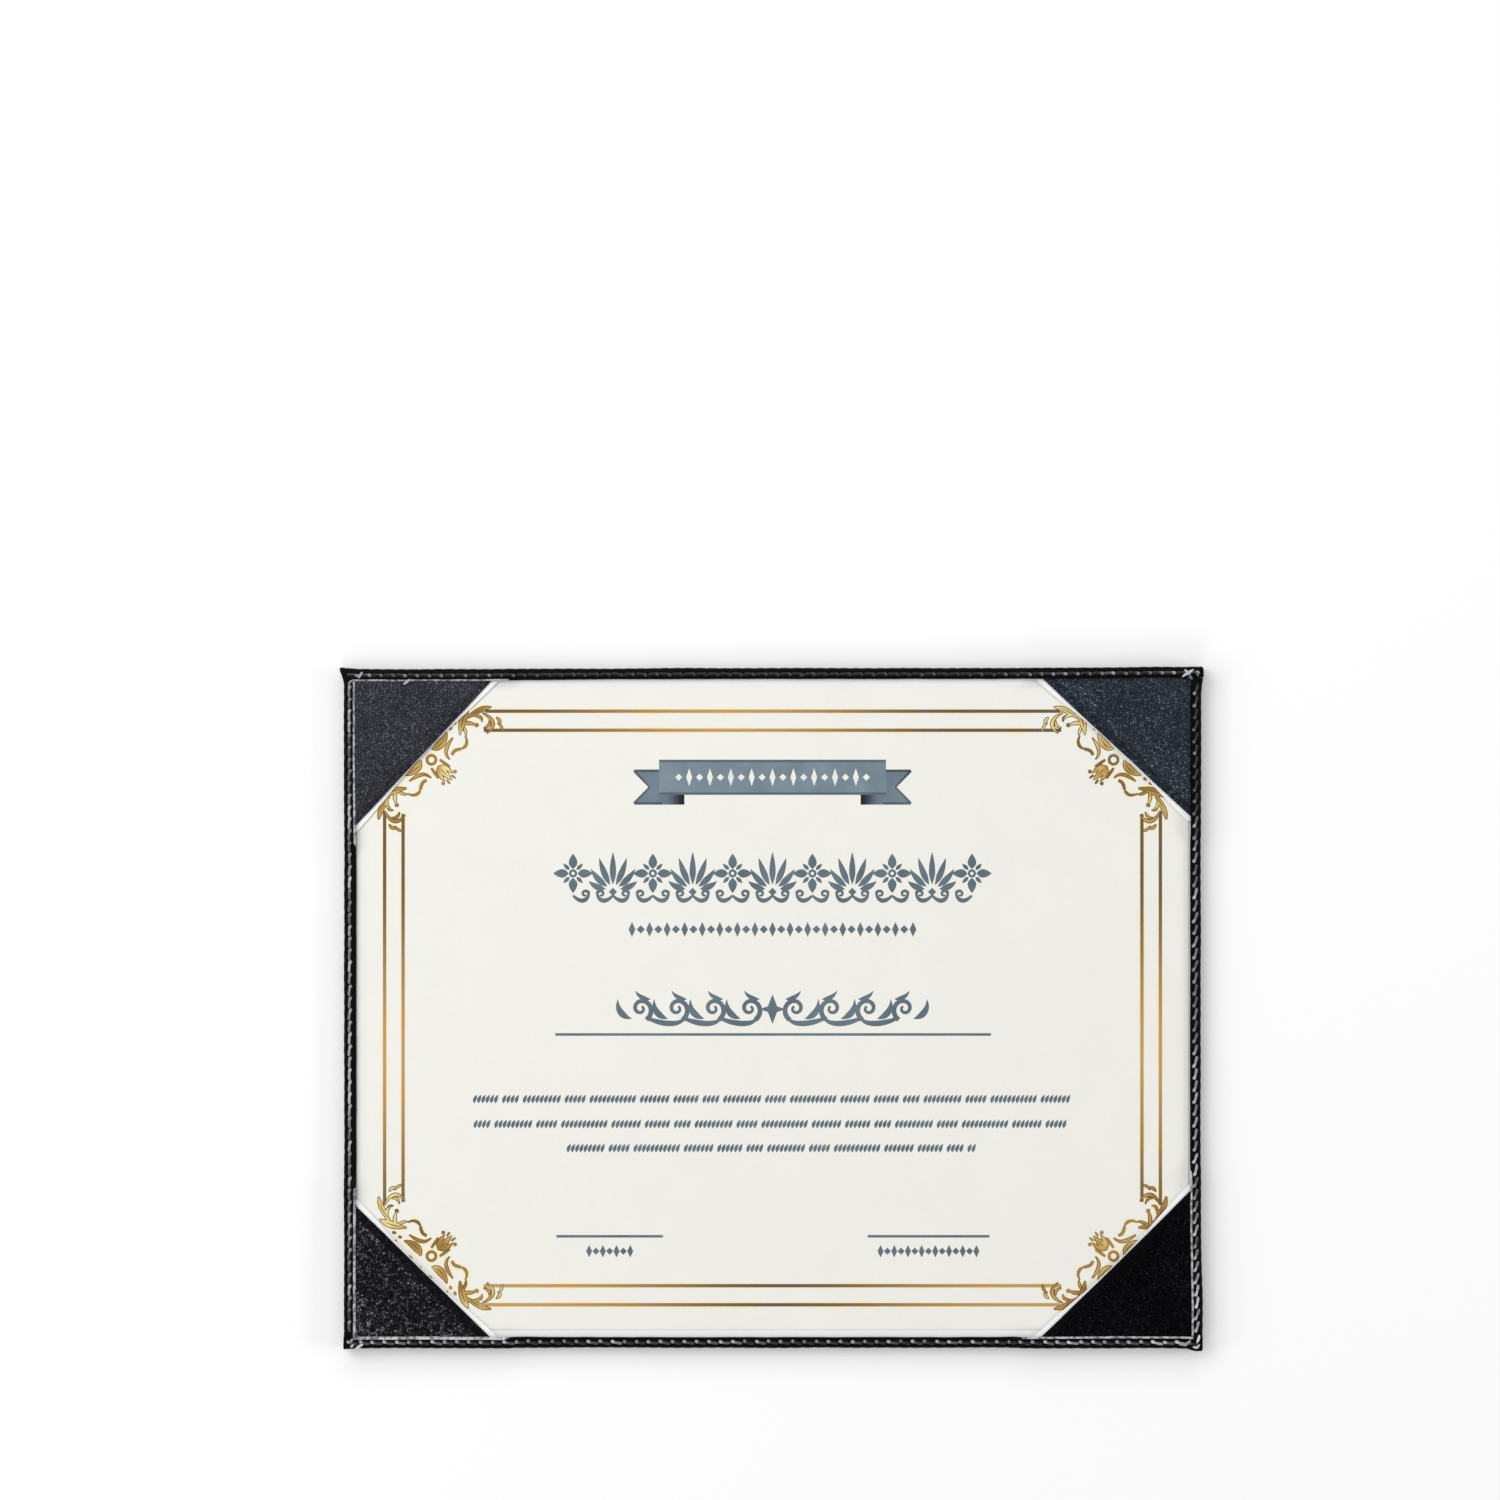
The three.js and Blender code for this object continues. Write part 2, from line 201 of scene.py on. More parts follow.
# Print on the certificate, in mm from the middle of the sheet. A place is a complex number.
RULES = ((130.3, 99.7, 96.6, 66.0), (124.1, 93.3, 97.0, 65.2))  # x and y of a rule, and of its ends
TINT_MARGIN = 1.6
OUTLINE = 0.3
VEIN, VEINED = 0.3, 1.9  # a vein's width, and how wide a leaf has to be to have one
INK_ORDER = 60
INK_LIFT, INK_THICKNESS, INK_STEP = 0.004 * MM, 0.014 * MM, 0.0004 * MM
ORNAMENT_PLACE = complex(116.9, 85.7)
RIBBON_BODY = (-38.1, 71.6, 38.1, 83.4)
RIBBON_TAIL = (-46.5, 68.3, -29.6, 80.1)
TAIL_NOTCH = 5.2
FOLD_SHADOW = (0.6, 6.8)  # where the shadow in a fold starts and ends, out from the tail's inner end
EDGE_LINE = 0.85
TITLE_PLACE, TITLE_PITCH, TITLE_REACH = complex(0, 44.0), 13.4, 5
PALMETTE_HEIGHT, PALMETTE_PETALS = 13.6, 7
FLOWER_PETALS = ((0, 1.5, 6.6, 2.9), (0.5, 1.7, 4.6, 1.3))  # quarter turns, start, end, width
NAME_PLACE, NAME_PITCH, NAME_CURLS = complex(0, -0.4), 12.2, 4
SLATE_RULES = ((-73.0, 73.4, -8.9), (-72.6, -36.8, -76.7), (32.0, 72.9, -76.7))  # left, right, y
SLATE_RULE = 0.85
BODY_ROWS = ((99.7, -30.6), (99.5, -39.0), (68.2, -47.1))  # half the length of a row, and its y
LEAF_PITCH = 1.42
LEAF_GROUPS = (6, 4, 9, 5, 11, 7)
LEAF_GAP = 0.9 * LEAF_PITCH

# Rows of beads: the middle, how many, their step, and the half width and height of two in turn.
FOOT_BEAD_SIZES = ((1.0, 2.1), (1.2, 1.2))
BEAD_ROWS = (
    (complex(0, 26.4), 33, 2.95, ((1.15, 2.5), (1.4, 1.4))),
    (complex(-54.7, -81.7), 7, 2.3, FOOT_BEAD_SIZES),
    (complex(52.4, -81.7), 15, 2.3, FOOT_BEAD_SIZES),
)
RIBBON_BEADS = (complex(0, 77.5), 19, 3.5, ((1.2, 1.2), (1.0, 3.0)))

# One half of a corner's leafy scroll. Its own directions are along the pocket's diagonal and from
# there towards the middle of the sheet. Each curve has four points, its width at its ends and at
# its thickest, and where that is. Leaves have gold inside a brown outline, and stems are plain.
LEAVES = (
    (10.4 + 3.1j, 7.2 + 3.6j, 4.4 + 4.2j, 4.4 + 7.6j, 0.5, 1.4, 0.45),
    (12.6 + 4.2j, 15.2 + 2.2j, 17.6 + 0.6j, 21.2 - 0.3j, 0.6, 2.7, 0.6),
    (15.4 + 2.2j, 17.0 + 2.6j, 18.2 + 3.8j, 18.8 + 5.6j, 0.6, 1.5, 0.5),
    (18.6 + 1.2j, 20.4 + 1.8j, 21.8 + 3.2j, 21.4 + 5.4j, 0.6, 1.5, 0.5),
    (17.4 + 1.6j, 20.5 + 2.2j, 24.0 + 2.6j, 26.8 + 5.0j, 0.6, 2.0, 0.65),
    (23.2 + 4.2j, 24.8 + 8.4j, 23.4 + 10.9j, 19.4 + 10.1j, 0.6, 1.5, 0.5),
    (23.0 + 7.6j, 22.6 + 8.8j, 21.4 + 9.0j, 19.9 + 8.1j, 0.5, 1.2, 0.5),
    (2.6 + 0.7j, 4.2 + 2.3j, 7.6 + 2.0j, 10.2 + 0.4j, 0.5, 2.9, 0.45),
    (25.4 + 8.5j, 25.8 + 9.8j, 25.4 + 10.8j, 24.6 + 11.2j, 0.5, 1.3, 0.4),
    (24.4 + 10.2j, 24.8 + 11.6j, 24.4 + 12.8j, 23.5 + 13.5j, 0.5, 1.1, 0.5),
    (15.8 + 2.9j, 15.0 + 3.9j, 14.9 + 5.0j, 13.9 + 5.8j, 0.5, 1.2, 0.5),
    (12.4 - 1.2j, 9.2 - 6.4j, 4.4 - 6.6j, 2.4 - 2.6j, 0.6, 2.0, 0.5),
    (9.2 - 4.2j, 10.6 - 6.2j, 12.4 - 6.8j, 14.4 - 6.2j, 0.6, 2.1, 0.4),
    (5.6 - 5.4j, 5.4 - 7.4j, 6.4 - 9.0j, 8.2 - 9.8j, 0.6, 2.0, 0.4),
)
STEMS = (
    (13.7 + 5.6j, 13.0 + 8.0j, 11.2 + 8.6j, 9.6 + 7.7j, 0.6, 1.15, 0.6),
    (9.6 + 7.7j, 8.4 + 6.9j, 7.4 + 6.2j, 6.0 + 7.1j, 1.05, 1.2, 0.5),
    (21.4 + 3.7j, 22.2 + 4.6j, 22.0 + 5.7j, 20.9 + 6.2j, 0.6, 1.0, 0.5),
    (15.0 - 0.4j, 14.7 - 0.1j, 14.3 + 0.2j, 13.8 + 0.3j, 0.7, 1.1, 0.5),
    (12.6 + 0.1j, 12.2 + 0.3j, 11.8 + 0.5j, 11.4 + 0.5j, 0.7, 1.1, 0.5),
    (2.0 + 5.2j, 2.2 + 6.6j, 2.5 + 8.0j, 2.7 + 9.4j, 0.8, 1.1, 0.5),
    (1.0 + 11.6j, 1.2 + 12.2j, 1.3 + 12.8j, 1.3 + 13.4j, 0.6, 0.9, 0.5),
    (2.1 + 11.7j, 2.5 + 11.7j, 3.1 + 11.7j, 3.5 + 11.7j, 0.3, 1.4, 0.5),
    (18.2 + 5.8j, 18.7 + 5.8j, 19.3 + 5.8j, 19.8 + 5.8j, 0.3, 1.6, 0.5),
)

# The crest between the halves: the base, tip, lean and width of its leaves.
CREST_LEAVES = ((6.0j, 13.2j, 0.0, 2.4), (0.4 + 6.4j, 1.9 + 11.8j, -0.1, 1.9),
                (-0.4 + 6.4j, -1.9 + 11.8j, 0.1, 1.9), (-1.4j, -8.4j, 0.0, 2.7))

# The middle of the picture, from the middle of the holder, and its width at the sheet.
VIEW_CENTRE = (-7.56 * MM, 86.66 * MM)
VIEW_WIDTH = 503.9 * MM
SENSOR_WIDTH = 36.0
FLOOR_HALF, FLOOR_DROP = 6.0, 0.02 * MM

# Softboxes: azimuth from +Y clockwise and angle off the zenith in degrees, distance, width and
# height in metres, and power in watts.
SOFTBOXES = (
    ("key_softbox", -48.0, 43.0, 1.5, 1.2, 1.0, 11.6),
    ("left_panel", -100.0, 62.0, 1.6, 0.9, 0.7, 5.2),
    ("right_panel", 92.0, 66.0, 1.6, 0.9, 0.5, 7.8),
    ("front_panel", 185.0, 60.0, 1.8, 1.2, 0.5, 5.6),
    ("back_panel", 10.0, 60.0, 1.8, 1.2, 0.5, 5.4),
)


# Colours, nodes and meshes.

def srgb(code):
    """An sRGB hex colour as linear red, green, blue and alpha."""
    channels = [int(code[i:i + 2], 16) / 255 for i in (1, 3, 5)]
    return (*[c / 12.92 if c <= 0.04045 else ((c + 0.055) / 1.055) ** 2.4 for c in channels], 1.0)


def add_node(tree, kind, inputs=(), **settings):
    """A node with its settings. Its inputs are those in use, given in order or by name, and each
    takes a value, a socket or a node's first output in use."""
    node = tree.nodes.new(kind)
    for name, value in settings.items():
        setattr(node, name, value)
    used = [socket for socket in node.inputs if socket.enabled]
    for key, value in inputs.items() if isinstance(inputs, dict) else enumerate(inputs):
        socket = used[key] if isinstance(key, int) else next(s for s in used if s.name == key)
        if isinstance(value, bpy.types.Node):
            value = next(output for output in value.outputs if output.enabled)
        if isinstance(value, bpy.types.NodeSocket):
            tree.links.new(value, socket)
        else:
            socket.default_value = value
    return node


def ease(value):
    value = min(max(value, 0.0), 1.0)
    return value * value * (3 - 2 * value)


def bell(value):
    """1 at zero, falling off to nothing by about 2 on either side."""
    return math.exp(-value ** 2)


def between(values, share):
    """A value along a side, from its values at the start, the middle and the end."""
    start, middle, end = values
    return middle + ((start if share < 0 else end) - middle) * ease((abs(share) - 0.35) / 0.45)


def wave(place, scale, seed):
    """Smooth noise from about -1 to 1 at a place, with bumps of about the given size."""
    return noise.noise(Vector((place[0], place[1], 0.0)) / scale + Vector((seed, 0.37 * seed, 0.71)))


def link_object(name, data):
    made = bpy.data.objects.new(name, data)
    bpy.context.scene.collection.objects.link(made)
    return made


def mesh_object(name, points, faces, materials, face_materials=None, sharp_angle=0.7):
    """A closed mesh with its doubles merged and its faces turned outwards."""
    mesh = bpy.data.meshes.new(name)
    mesh.from_pydata(points, [], faces)
    for material in materials:
        mesh.materials.append(material)
    if face_materials:
        mesh.polygons.foreach_set("material_index", face_materials)
    shape = bmesh.new()
    shape.from_mesh(mesh)
    bmesh.ops.remove_doubles(shape, verts=shape.verts, dist=1e-7)
    bmesh.ops.recalc_face_normals(shape, faces=shape.faces)
    shape.to_mesh(mesh)
    shape.free()
    mesh.polygons.foreach_set("use_smooth", [True] * len(mesh.polygons))
    mesh.set_sharp_from_angle(angle=sharp_angle)
    return link_object(name, mesh)


def loft(rings):
    """Points and faces of a tube through rings of equal length, with both ends closed."""
    size, last = len(rings[0]), len(rings) - 1
    faces = [(i * size + j, i * size + (j + 1) % size, (i + 1) * size + (j + 1) % size, (i + 1) * size + j)
             for i in range(last) for j in range(size)]
    faces += [tuple(range(size)), tuple(range(last * size, (last + 1) * size))]
    return [point for ring in rings for point in ring], faces


def store_values(mesh, name, values):
    mesh.attributes.new(name, "FLOAT", "POINT").data.foreach_set("value", values)


def ride(piece, body, slot, *nodes):
    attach(piece, body)
    if nodes:
        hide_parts(*nodes)


def dress(node, material):
    """Gives a CAD node its material."""
    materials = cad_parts[node].data.materials
    materials.clear()
    materials.append(material)


# Materials.

def start_material(name):
    """A new material, what adds a node to it, and the object coordinates."""
    material = bpy.data.materials.new(name)
    material.use_nodes = True
    material.node_tree.nodes.clear()
    add = partial(add_node, material.node_tree)
    return material, add, add("ShaderNodeTexCoord").outputs["Object"]


def surface(add, roughness, specular, tone, dark, pale, height=None, depth=0.0, **more):
    """A material's shader, coloured from dark to pale by a tone and raised by a height."""
    colour = add("ShaderNodeMix", (tone, dark, pale), data_type="RGBA")
    inputs = {"Base Color": colour, "Roughness": roughness, "Specular IOR Level": specular, **more}
    if height is not None:
        inputs["Normal"] = add("ShaderNodeBump", {"Height": height, "Distance": depth})
    add("ShaderNodeOutputMaterial", {"Surface": add("ShaderNodeBsdfPrincipled", inputs)})


def leatherette(name, crest, valley, grain, depth, specular, uneven=0.3):
    """PVC leatherette, calendered against a grained roller: rounded pebbles with narrow creases
    between them. The crests are painted paler than the creases as a sheen, brighter on some
    pebbles than others and weaker in broad patches. Along a turned hem the colour is painted
    darker, as shade, by an attribute stored along the hem."""
    material, add, place = start_material(name)
    drift = add("ShaderNodeTexNoise", {"Vector": place, "Scale": 0.45 / grain, "Detail": 2.0})
    offset = add("ShaderNodeVectorMath", (drift.outputs["Color"], 1.3 * grain), operation="SCALE")
    bent = add("ShaderNodeVectorMath", (place, offset), operation="ADD")
    cells, each = (add("ShaderNodeTexVoronoi", {"Vector": bent, "Scale": 1 / grain, "Randomness": 0.95},
                       feature=feature) for feature in ("DISTANCE_TO_EDGE", "F1"))
    fine = add("ShaderNodeTexNoise", {"Vector": bent, "Scale": 2.2 / grain, "Detail": 3.0, "Roughness": 0.6})
    lot = add("ShaderNodeSeparateColor", (each.outputs["Color"],))
    # Pebbles, creases, and a painted sheen that is brighter on some pebbles than others.
    pebbles, creases, sheen = (
        add("ShaderNodeMapRange", inputs, interpolation_type="SMOOTHSTEP") for inputs in (
            {"Value": cells, "From Max": 0.46},
            {"Value": fine, "From Min": 0.36, "From Max": 0.66, "To Min": 0.3},
            {"Value": lot, "From Min": 0.35, "To Min": 1 - uneven}))
    # Broad patches where the painted sheen is weaker.
    wide = add("ShaderNodeTexNoise", {"Vector": place, "Scale": 1 / (18 * MM), "Detail": 2.0})
    sheen_patches = add("ShaderNodeMapRange", {"Value": wide, "From Min": 0.35, "From Max": 0.65,
                                      "To Min": 1 - 0.7 * uneven})
    grainy = add("ShaderNodeMath", (pebbles, creases), operation="MULTIPLY")
    shiny = add("ShaderNodeMath", (grainy, sheen), operation="MULTIPLY")
    tone = add("ShaderNodeMath", (shiny, sheen_patches), operation="MULTIPLY")
    # Painted sheen: the colour runs from the darker creases up to the pale crests.
    colour = add("ShaderNodeMix", (tone, valley, crest), data_type="RGBA")
    # Painted shade along a pocket's turned hem.
    pressed = add("ShaderNodeAttribute", attribute_name="pressed").outputs["Fac"]
    surface(add, 0.45, specular, pressed, colour, srgb(HEM_SHADE_BLACK), grainy, depth)
    return material


def cut_backing(pale, dark):
    """Woven polyester backing of the leatherette, bared where the strip was cut: a pale fuzzy line
    with brighter beads of fibre."""
    material, add, place = start_material("binding_cut_edge_polyester_backing")
    beads, fibres = (add("ShaderNodeTexNoise", {"Vector": place, "Scale": 1 / size, "Detail": 2.0})
                     for size in (1.9 * MM, 0.4 * MM))
    tone = add("ShaderNodeMapRange", {"Value": beads, "From Min": 0.36, "From Max": 0.62},
               interpolation_type="SMOOTHSTEP")
    surface(add, 0.85, 0.3, tone, dark, pale, fibres, 0.08 * MM)
    return material


def sewing_thread(name, dark, pale):
    """Bonded polyester thread, spun in plies: soft lengthwise gloss, pale where a stitch rises from
    its needle hole. Its colour carries painted light: each side's tone is painted as the light falls
    on it, painted shade darkens each stitch towards its tail and the grooves between the plies, and
    a fine noise adds random soil. Tone is a brightness as the eye sees it, so a power turns it to light."""
    material, add, place = start_material(name)
    tone, ply, tail, fade = (add("ShaderNodeAttribute", attribute_name=kept).outputs["Fac"]
                             for kept in ("tone", "ply", "tail", "fade"))
    # Painted shade towards each stitch's tail.
    fall = add("ShaderNodeMath", (tail, fade, 2.2), operation="MULTIPLY_ADD")
    tail_shaded = add("ShaderNodeMath", (tone, fall), operation="POWER")
    # Painted shade in the grooves between the plies.
    ply_shaded = add("ShaderNodeMath", (ply, 0.35, 0.65), operation="MULTIPLY_ADD")
    shade = add("ShaderNodeMath", (tail_shaded, ply_shaded), operation="MULTIPLY")
    fuzz = add("ShaderNodeTexNoise", {"Vector": place, "Scale": 1 / (0.6 * MM), "Detail": 2.0})
    soil = add("ShaderNodeMapRange", {"Value": fuzz, "From Min": 0.3, "From Max": 0.7, "To Min": 0.7,
                                      "To Max": 1.15})
    shaded_and_soiled = add("ShaderNodeMath", (shade, soil), operation="MULTIPLY", use_clamp=True)
    surface(add, 0.45, 0.4, shaded_and_soiled, dark, pale, fuzz, 0.03 * MM,
            **{"Sheen Weight": 0.2, "Sheen Roughness": 0.4})
    return material


def paper(name, tint, shade, fibre, roughness=0.75):
    """Uncoated wood-free paper, calendered: matt, with a faint cloudy look-through and fibres too
    fine to show, drawn a little coarser than they are."""
    material, add, place = start_material(name)
    clouds = add("ShaderNodeTexNoise", {"Vector": place, "Scale": 1 / (14 * MM), "Detail": 4.0})
    fibres = add("ShaderNodeTexNoise", {"Vector": place, "Scale": 1 / fibre, "Detail": 3.0})
    both = add("ShaderNodeMath", (clouds, fibres), operation="ADD")
    tone = add("ShaderNodeMapRange", {"Value": both, "From Min": 0.7, "From Max": 1.3})
    surface(add, roughness, 0.25, tone, shade, tint, fibres, 0.01 * MM)
    return material


def metallic_ink(name, dark, middle, pale, run):
    """Gold offset ink printed as a run of tones from brown to bright, which reads as light moving
    over gilding."""
    material, add, place = start_material(name)
    cloud = add("ShaderNodeTexNoise", {"Vector": place, "Scale": 1 / run, "Detail": 1.5})
    low, high = (add("ShaderNodeMapRange", {"Value": cloud, "From Min": start, "From Max": end})
                 for start, end in ((0.34, 0.5), (0.5, 0.64)))
    brown = add("ShaderNodeMix", (low, dark, middle), data_type="RGBA")
    surface(add, 0.5, 0.4, high, brown, pale)
    return material


def graded_ink(name, near, far, axis, centre, start, end, roughness=0.5, specular=0.4):
    """Offset ink printed as one slow run of tone, which turns from the near colour to the far one
    away from a centre. On a rule it reads as a polished metal strip in a single light, and on a
    fold as the ribbon's own shadow."""
    material, add, place = start_material(name)
    along = add("ShaderNodeSeparateXYZ", (place,)).outputs[axis]
    signed = add("ShaderNodeMath", (along, centre), operation="SUBTRACT")
    away = add("ShaderNodeMath", (signed,), operation="ABSOLUTE")
    tone = add("ShaderNodeMapRange", {"Value": away, "From Min": start, "From Max": end},
               interpolation_type="SMOOTHSTEP")
    surface(add, roughness, specular, tone, near, far)
    return material


def flat_ink(name, colour, thin):
    """Offset ink, printed flat: matt, a little thinner where the paper took less of it."""
    material, add, place = start_material(name)
    cloud = add("ShaderNodeTexNoise", {"Vector": place, "Scale": 1 / (9 * MM), "Detail": 3.0})
    tone = add("ShaderNodeMapRange", {"Value": cloud, "From Min": 0.35, "From Max": 0.65})
    surface(add, 0.6, 0.3, tone, colour, thin)
    return material


def floor_paper(colour, glow):
    """Matt white background paper. Seen by the camera it is lifted to plain white, and it keeps
    the object's shadow."""
    material, add, place = start_material("background_paper_matt")
    path = add("ShaderNodeLightPath").outputs
    seen = add("ShaderNodeMath", (path["Is Camera Ray"], path["Is Glossy Ray"]), operation="ADD")
    seen = add("ShaderNodeMath", (seen, path["Is Transmission Ray"]), operation="ADD", use_clamp=True)
    lift = add("ShaderNodeMath", (seen, glow), operation="MULTIPLY")
    shader = add("ShaderNodeBsdfPrincipled", {
        "Base Color": colour, "Roughness": 0.9, "Specular IOR Level": 0.0,
        "Emission Color": srgb("#ffffff"), "Emission Strength": lift})
    add("ShaderNodeOutputMaterial", {"Surface": shader})
    return material


# The rim.

def rim_point(side, along, across, height):
    """A place on a side of the rim in the shared frame."""
    half = HALF_WIDTH if side.long else HALF_LENGTH
    turn_cos, turn_sin = math.cos(side.turn), math.sin(side.turn)
    return Vector((along * turn_cos - (across - half) * turn_sin,
                   along * turn_sin + (across - half) * turn_cos, height))


def span_along(side, box):
    """Where a box starts and ends along a side."""
    return sorted(corner.x * math.cos(side.turn) + corner.y * math.sin(side.turn) for corner in box)


def lining_reach(side, corner):
    """Where the pocket lining at a corner ends along a side."""
    return min(span_along(side, LINING_BOXES[corner]), key=abs)


def lip_lift(side, along):
    """How far the front lip is raised over a pocket: fully at each end, not at all between."""
    first = (along - lining_reach(side, side.start) - RAMP_START) / RAMP_LENGTH
    last = (lining_reach(side, side.end) - RAMP_START - along) / RAMP_LENGTH
    return POCKET_LIFT * (1 - ease(first) * ease(last))


def seam_half(side):
    """Half the length of a side's seam."""
    start, end = span_along(side, SEAM_BOXES[side.name])
    return (end - start) / 2


def stitch_count(side, pitch):
    return round(2 * seam_half(side) / pitch)


def needle_pull(side, along, pitch):
    """How strongly the seam pulls the strip down: 1 at a needle hole, 0 midway to the next."""
    half = seam_half(side)
    if abs(along) > half:
        return 0.0
    turns = (along + half) / (2 * half) * stitch_count(side, pitch)
    return (0.5 + 0.5 * math.cos(2 * math.pi * turns)) ** 2


def fold_quarter(start, height):
    """A quarter of the strip's fold from a starting angle, round a centre at a height."""
    angles = [start + math.pi / 2 * step / FOLD_STEPS for step in range(FOLD_STEPS + 1)]
    return [(FOLD_RADIUS * (1 + math.cos(angle)), height + FOLD_RADIUS * math.sin(angle)) for angle in angles]


def rim_section(lift, pull, cut_edge, shrink, closed, looks):
    """The strip's section as places across and heights, from the lip's inner edge over the front,
    round the fold, along the back and home through the inside."""
    top, inner = RIM_TOP + lift, RIM_WIDTH
    section = [(inner - share * cut_edge, top - down * LEATHER) for share, down in CUT_EDGE_SHAPE]
    for offset in SEAM_OFFSETS:
        across = SEAM_INSET + offset
        crown = looks.crown * math.sin(math.pi * (inner - across) / (inner - FOLD_RADIUS))
        groove = (looks.groove + looks.hole_depth * pull) * bell(offset / GROOVE_SOFTNESS)
        section.append((across, top + crown - groove))
    section += fold_quarter(math.pi / 2, top - FOLD_RADIUS)
    section += [(-FOLD_BULGE, FOLD_RADIUS + share * (top - 2 * FOLD_RADIUS)) for share in (0.66, 0.33)]
    section += fold_quarter(math.pi, FOLD_RADIUS)
    section += [(SEAM_INSET + offset, BACK_GROOVE * bell(offset / BACK_SOFTNESS))
                for offset in reversed(SEAM_OFFSETS)]
    section += [(inner - BACK_EDGE, 0.0), (inner, BACK_EDGE)]
    section = [(across + looks.draw_in * pull * max(0.0, 1 - across / SEAM_INSET) * min(height / top, 1.0),
                height) for across, height in section]
    low, high, ease_in = LEATHER, top - LEATHER, LEATHER + INSIDE_EASE
    inside = [(inner, low), (SEAM_INSET, low), (ease_in, low), (LEATHER, ease_in),
              (LEATHER, high - INSIDE_EASE), (ease_in, high), (SEAM_INSET, high)]
    if closed:
        inside = [(inner, low + (high - low) * i / len(inside)) for i in range(len(inside))]
    middle, keep_across, keep_height = top / 2, (inner - shrink) / inner, 1 - 2 * shrink / top
    return [(inner - (inner - across) * keep_across, middle + (height - middle) * keep_height)
            for across, height in section + inside]


def corner_pull(point):
    """A place of the rim, moved as far as the folding-in of the corners has pulled it."""
    moved = Vector(point)
    for name, place, push, reach in CORNER_PULLS:
        sign_x, sign_y = CORNER_SIGNS[name]
        away = math.hypot(point.x - sign_x * (HALF_LENGTH - place[0] * MM),
                          point.y - sign_y * (HALF_WIDTH - place[1] * MM))
        share = MM * bell(away / (reach * MM))
        moved += Vector((sign_x * push[0] * share, sign_y * push[1] * share, 0))
    return moved


def ring_places(side):
    """Places of the rings along a strip, and for each how far the strip shrinks there and whether
    its end is closed. The long strips are folded in at their ends, and the short ones butt."""
    half = HALF_LENGTH if side.long else OPENING_Y - BUTT_GAP
    reach = half - (LEATHER + GLUE if side.long else 0.0)
    count = round(2 * reach / RING_STEP)
    places = [(2 * reach * i / count - reach, 0.0, False) for i in range(count + 1)]
    if not side.long:
        return places
    ends = [(half - step, END_RADIUS - math.sqrt(END_RADIUS ** 2 - (END_RADIUS - step) ** 2), True)
            for step in END_STEPS]
    return [(-place, *rest) for place, *rest in ends] + places + ends[::-1]


def pale_edge(side, along):
    """How much of the lip's pale cut edge shows. It fades out where the rim comes down."""
    past = abs(along) - abs(lining_reach(side, side.start if along < 0 else side.end))
    inside = OPENING_X if side.long else OPENING_Y
    if abs(along) >= inside + PALE_OVERLAP:
        return 0.0
    return side.pales[along >= 0] * ease(past / PALE_FADE + 1)


def make_rim_strip(side, looks, stitch_pitch, materials):
    """One folded strip of the rim, with its fold, seam groove, needle holes and cut edge."""
    seed = 3.1 * SIDES.index(side) + 1
    half = HALF_LENGTH if side.long else HALF_WIDTH
    rings, face_materials = [], []
    for along, shrink, closed in ring_places(side):
        pull = needle_pull(side, along, stitch_pitch)
        pale = pale_edge(side, along)
        cut_edge = CUT_EDGE_PLAIN + (looks.cut_edge - CUT_EDGE_PLAIN) * pale
        section = rim_section(lip_lift(side, along), pull, cut_edge, shrink, closed, looks)
        sway = looks.sway * wave((along, 0), FOLD_WAVE, seed)
        edge_sway = LIP_SWAY * looks.sway * wave((along, 0), LIP_WAVE, seed + 5)
        reach = between(side.reaches, along / half) * MM
        ring = []
        for across, height in section:
            inward = across / RIM_WIDTH
            lip = ease((across - SEAM_INSET) / (RIM_WIDTH - SEAM_INSET)) if height > RIM_TOP / 2 else 0.0
            shift = sway * (1 - inward) + edge_sway * inward + reach * lip
            if height > RIM_TOP - SAG_DOWN_TO:
                height += SAG * wave((along, across), SAG_WAVE, seed + 9)
            ring.append(corner_pull(rim_point(side, along, across + shift, height)))
        rings.append(ring)
        face_materials += [int(pale > PALE_FROM and j < len(CUT_EDGE_SHAPE) - 1) for j in range(len(ring))]
    face_materials[-len(rings[0]):] = [0, 0]
    return mesh_object(f"rim_binding_{side.name}", *loft(rings), materials, face_materials)


# Threads.

def thread_rings(path, radii, twist, sides):
    """Rings of a two-ply thread along a path, and how proud each point's ply stands, from 0 in the
    groove between the plies to 1 on the crest."""
    rings, plies = [], []
    last = len(path) - 1
    for i, point in enumerate(path):
        tangent = (path[min(i + 1, last)] - path[max(i - 1, 0)]).normalized()
        sideways = tangent.cross(Vector((0, 0, 1))).normalized()
        upwards = sideways.cross(tangent)
        ring = []
        for j in range(sides):
            angle = 2 * math.pi * j / sides
            proud = math.cos(2 * (angle - twist * i / last))
            size = radii[i] * (1 + PLY_SWELL * proud)
            ring.append(point + (sideways * math.cos(angle) + upwards * math.sin(angle)) * size)
            plies.append(0.5 + 0.5 * proud)
        rings.append(ring)
    return rings, plies


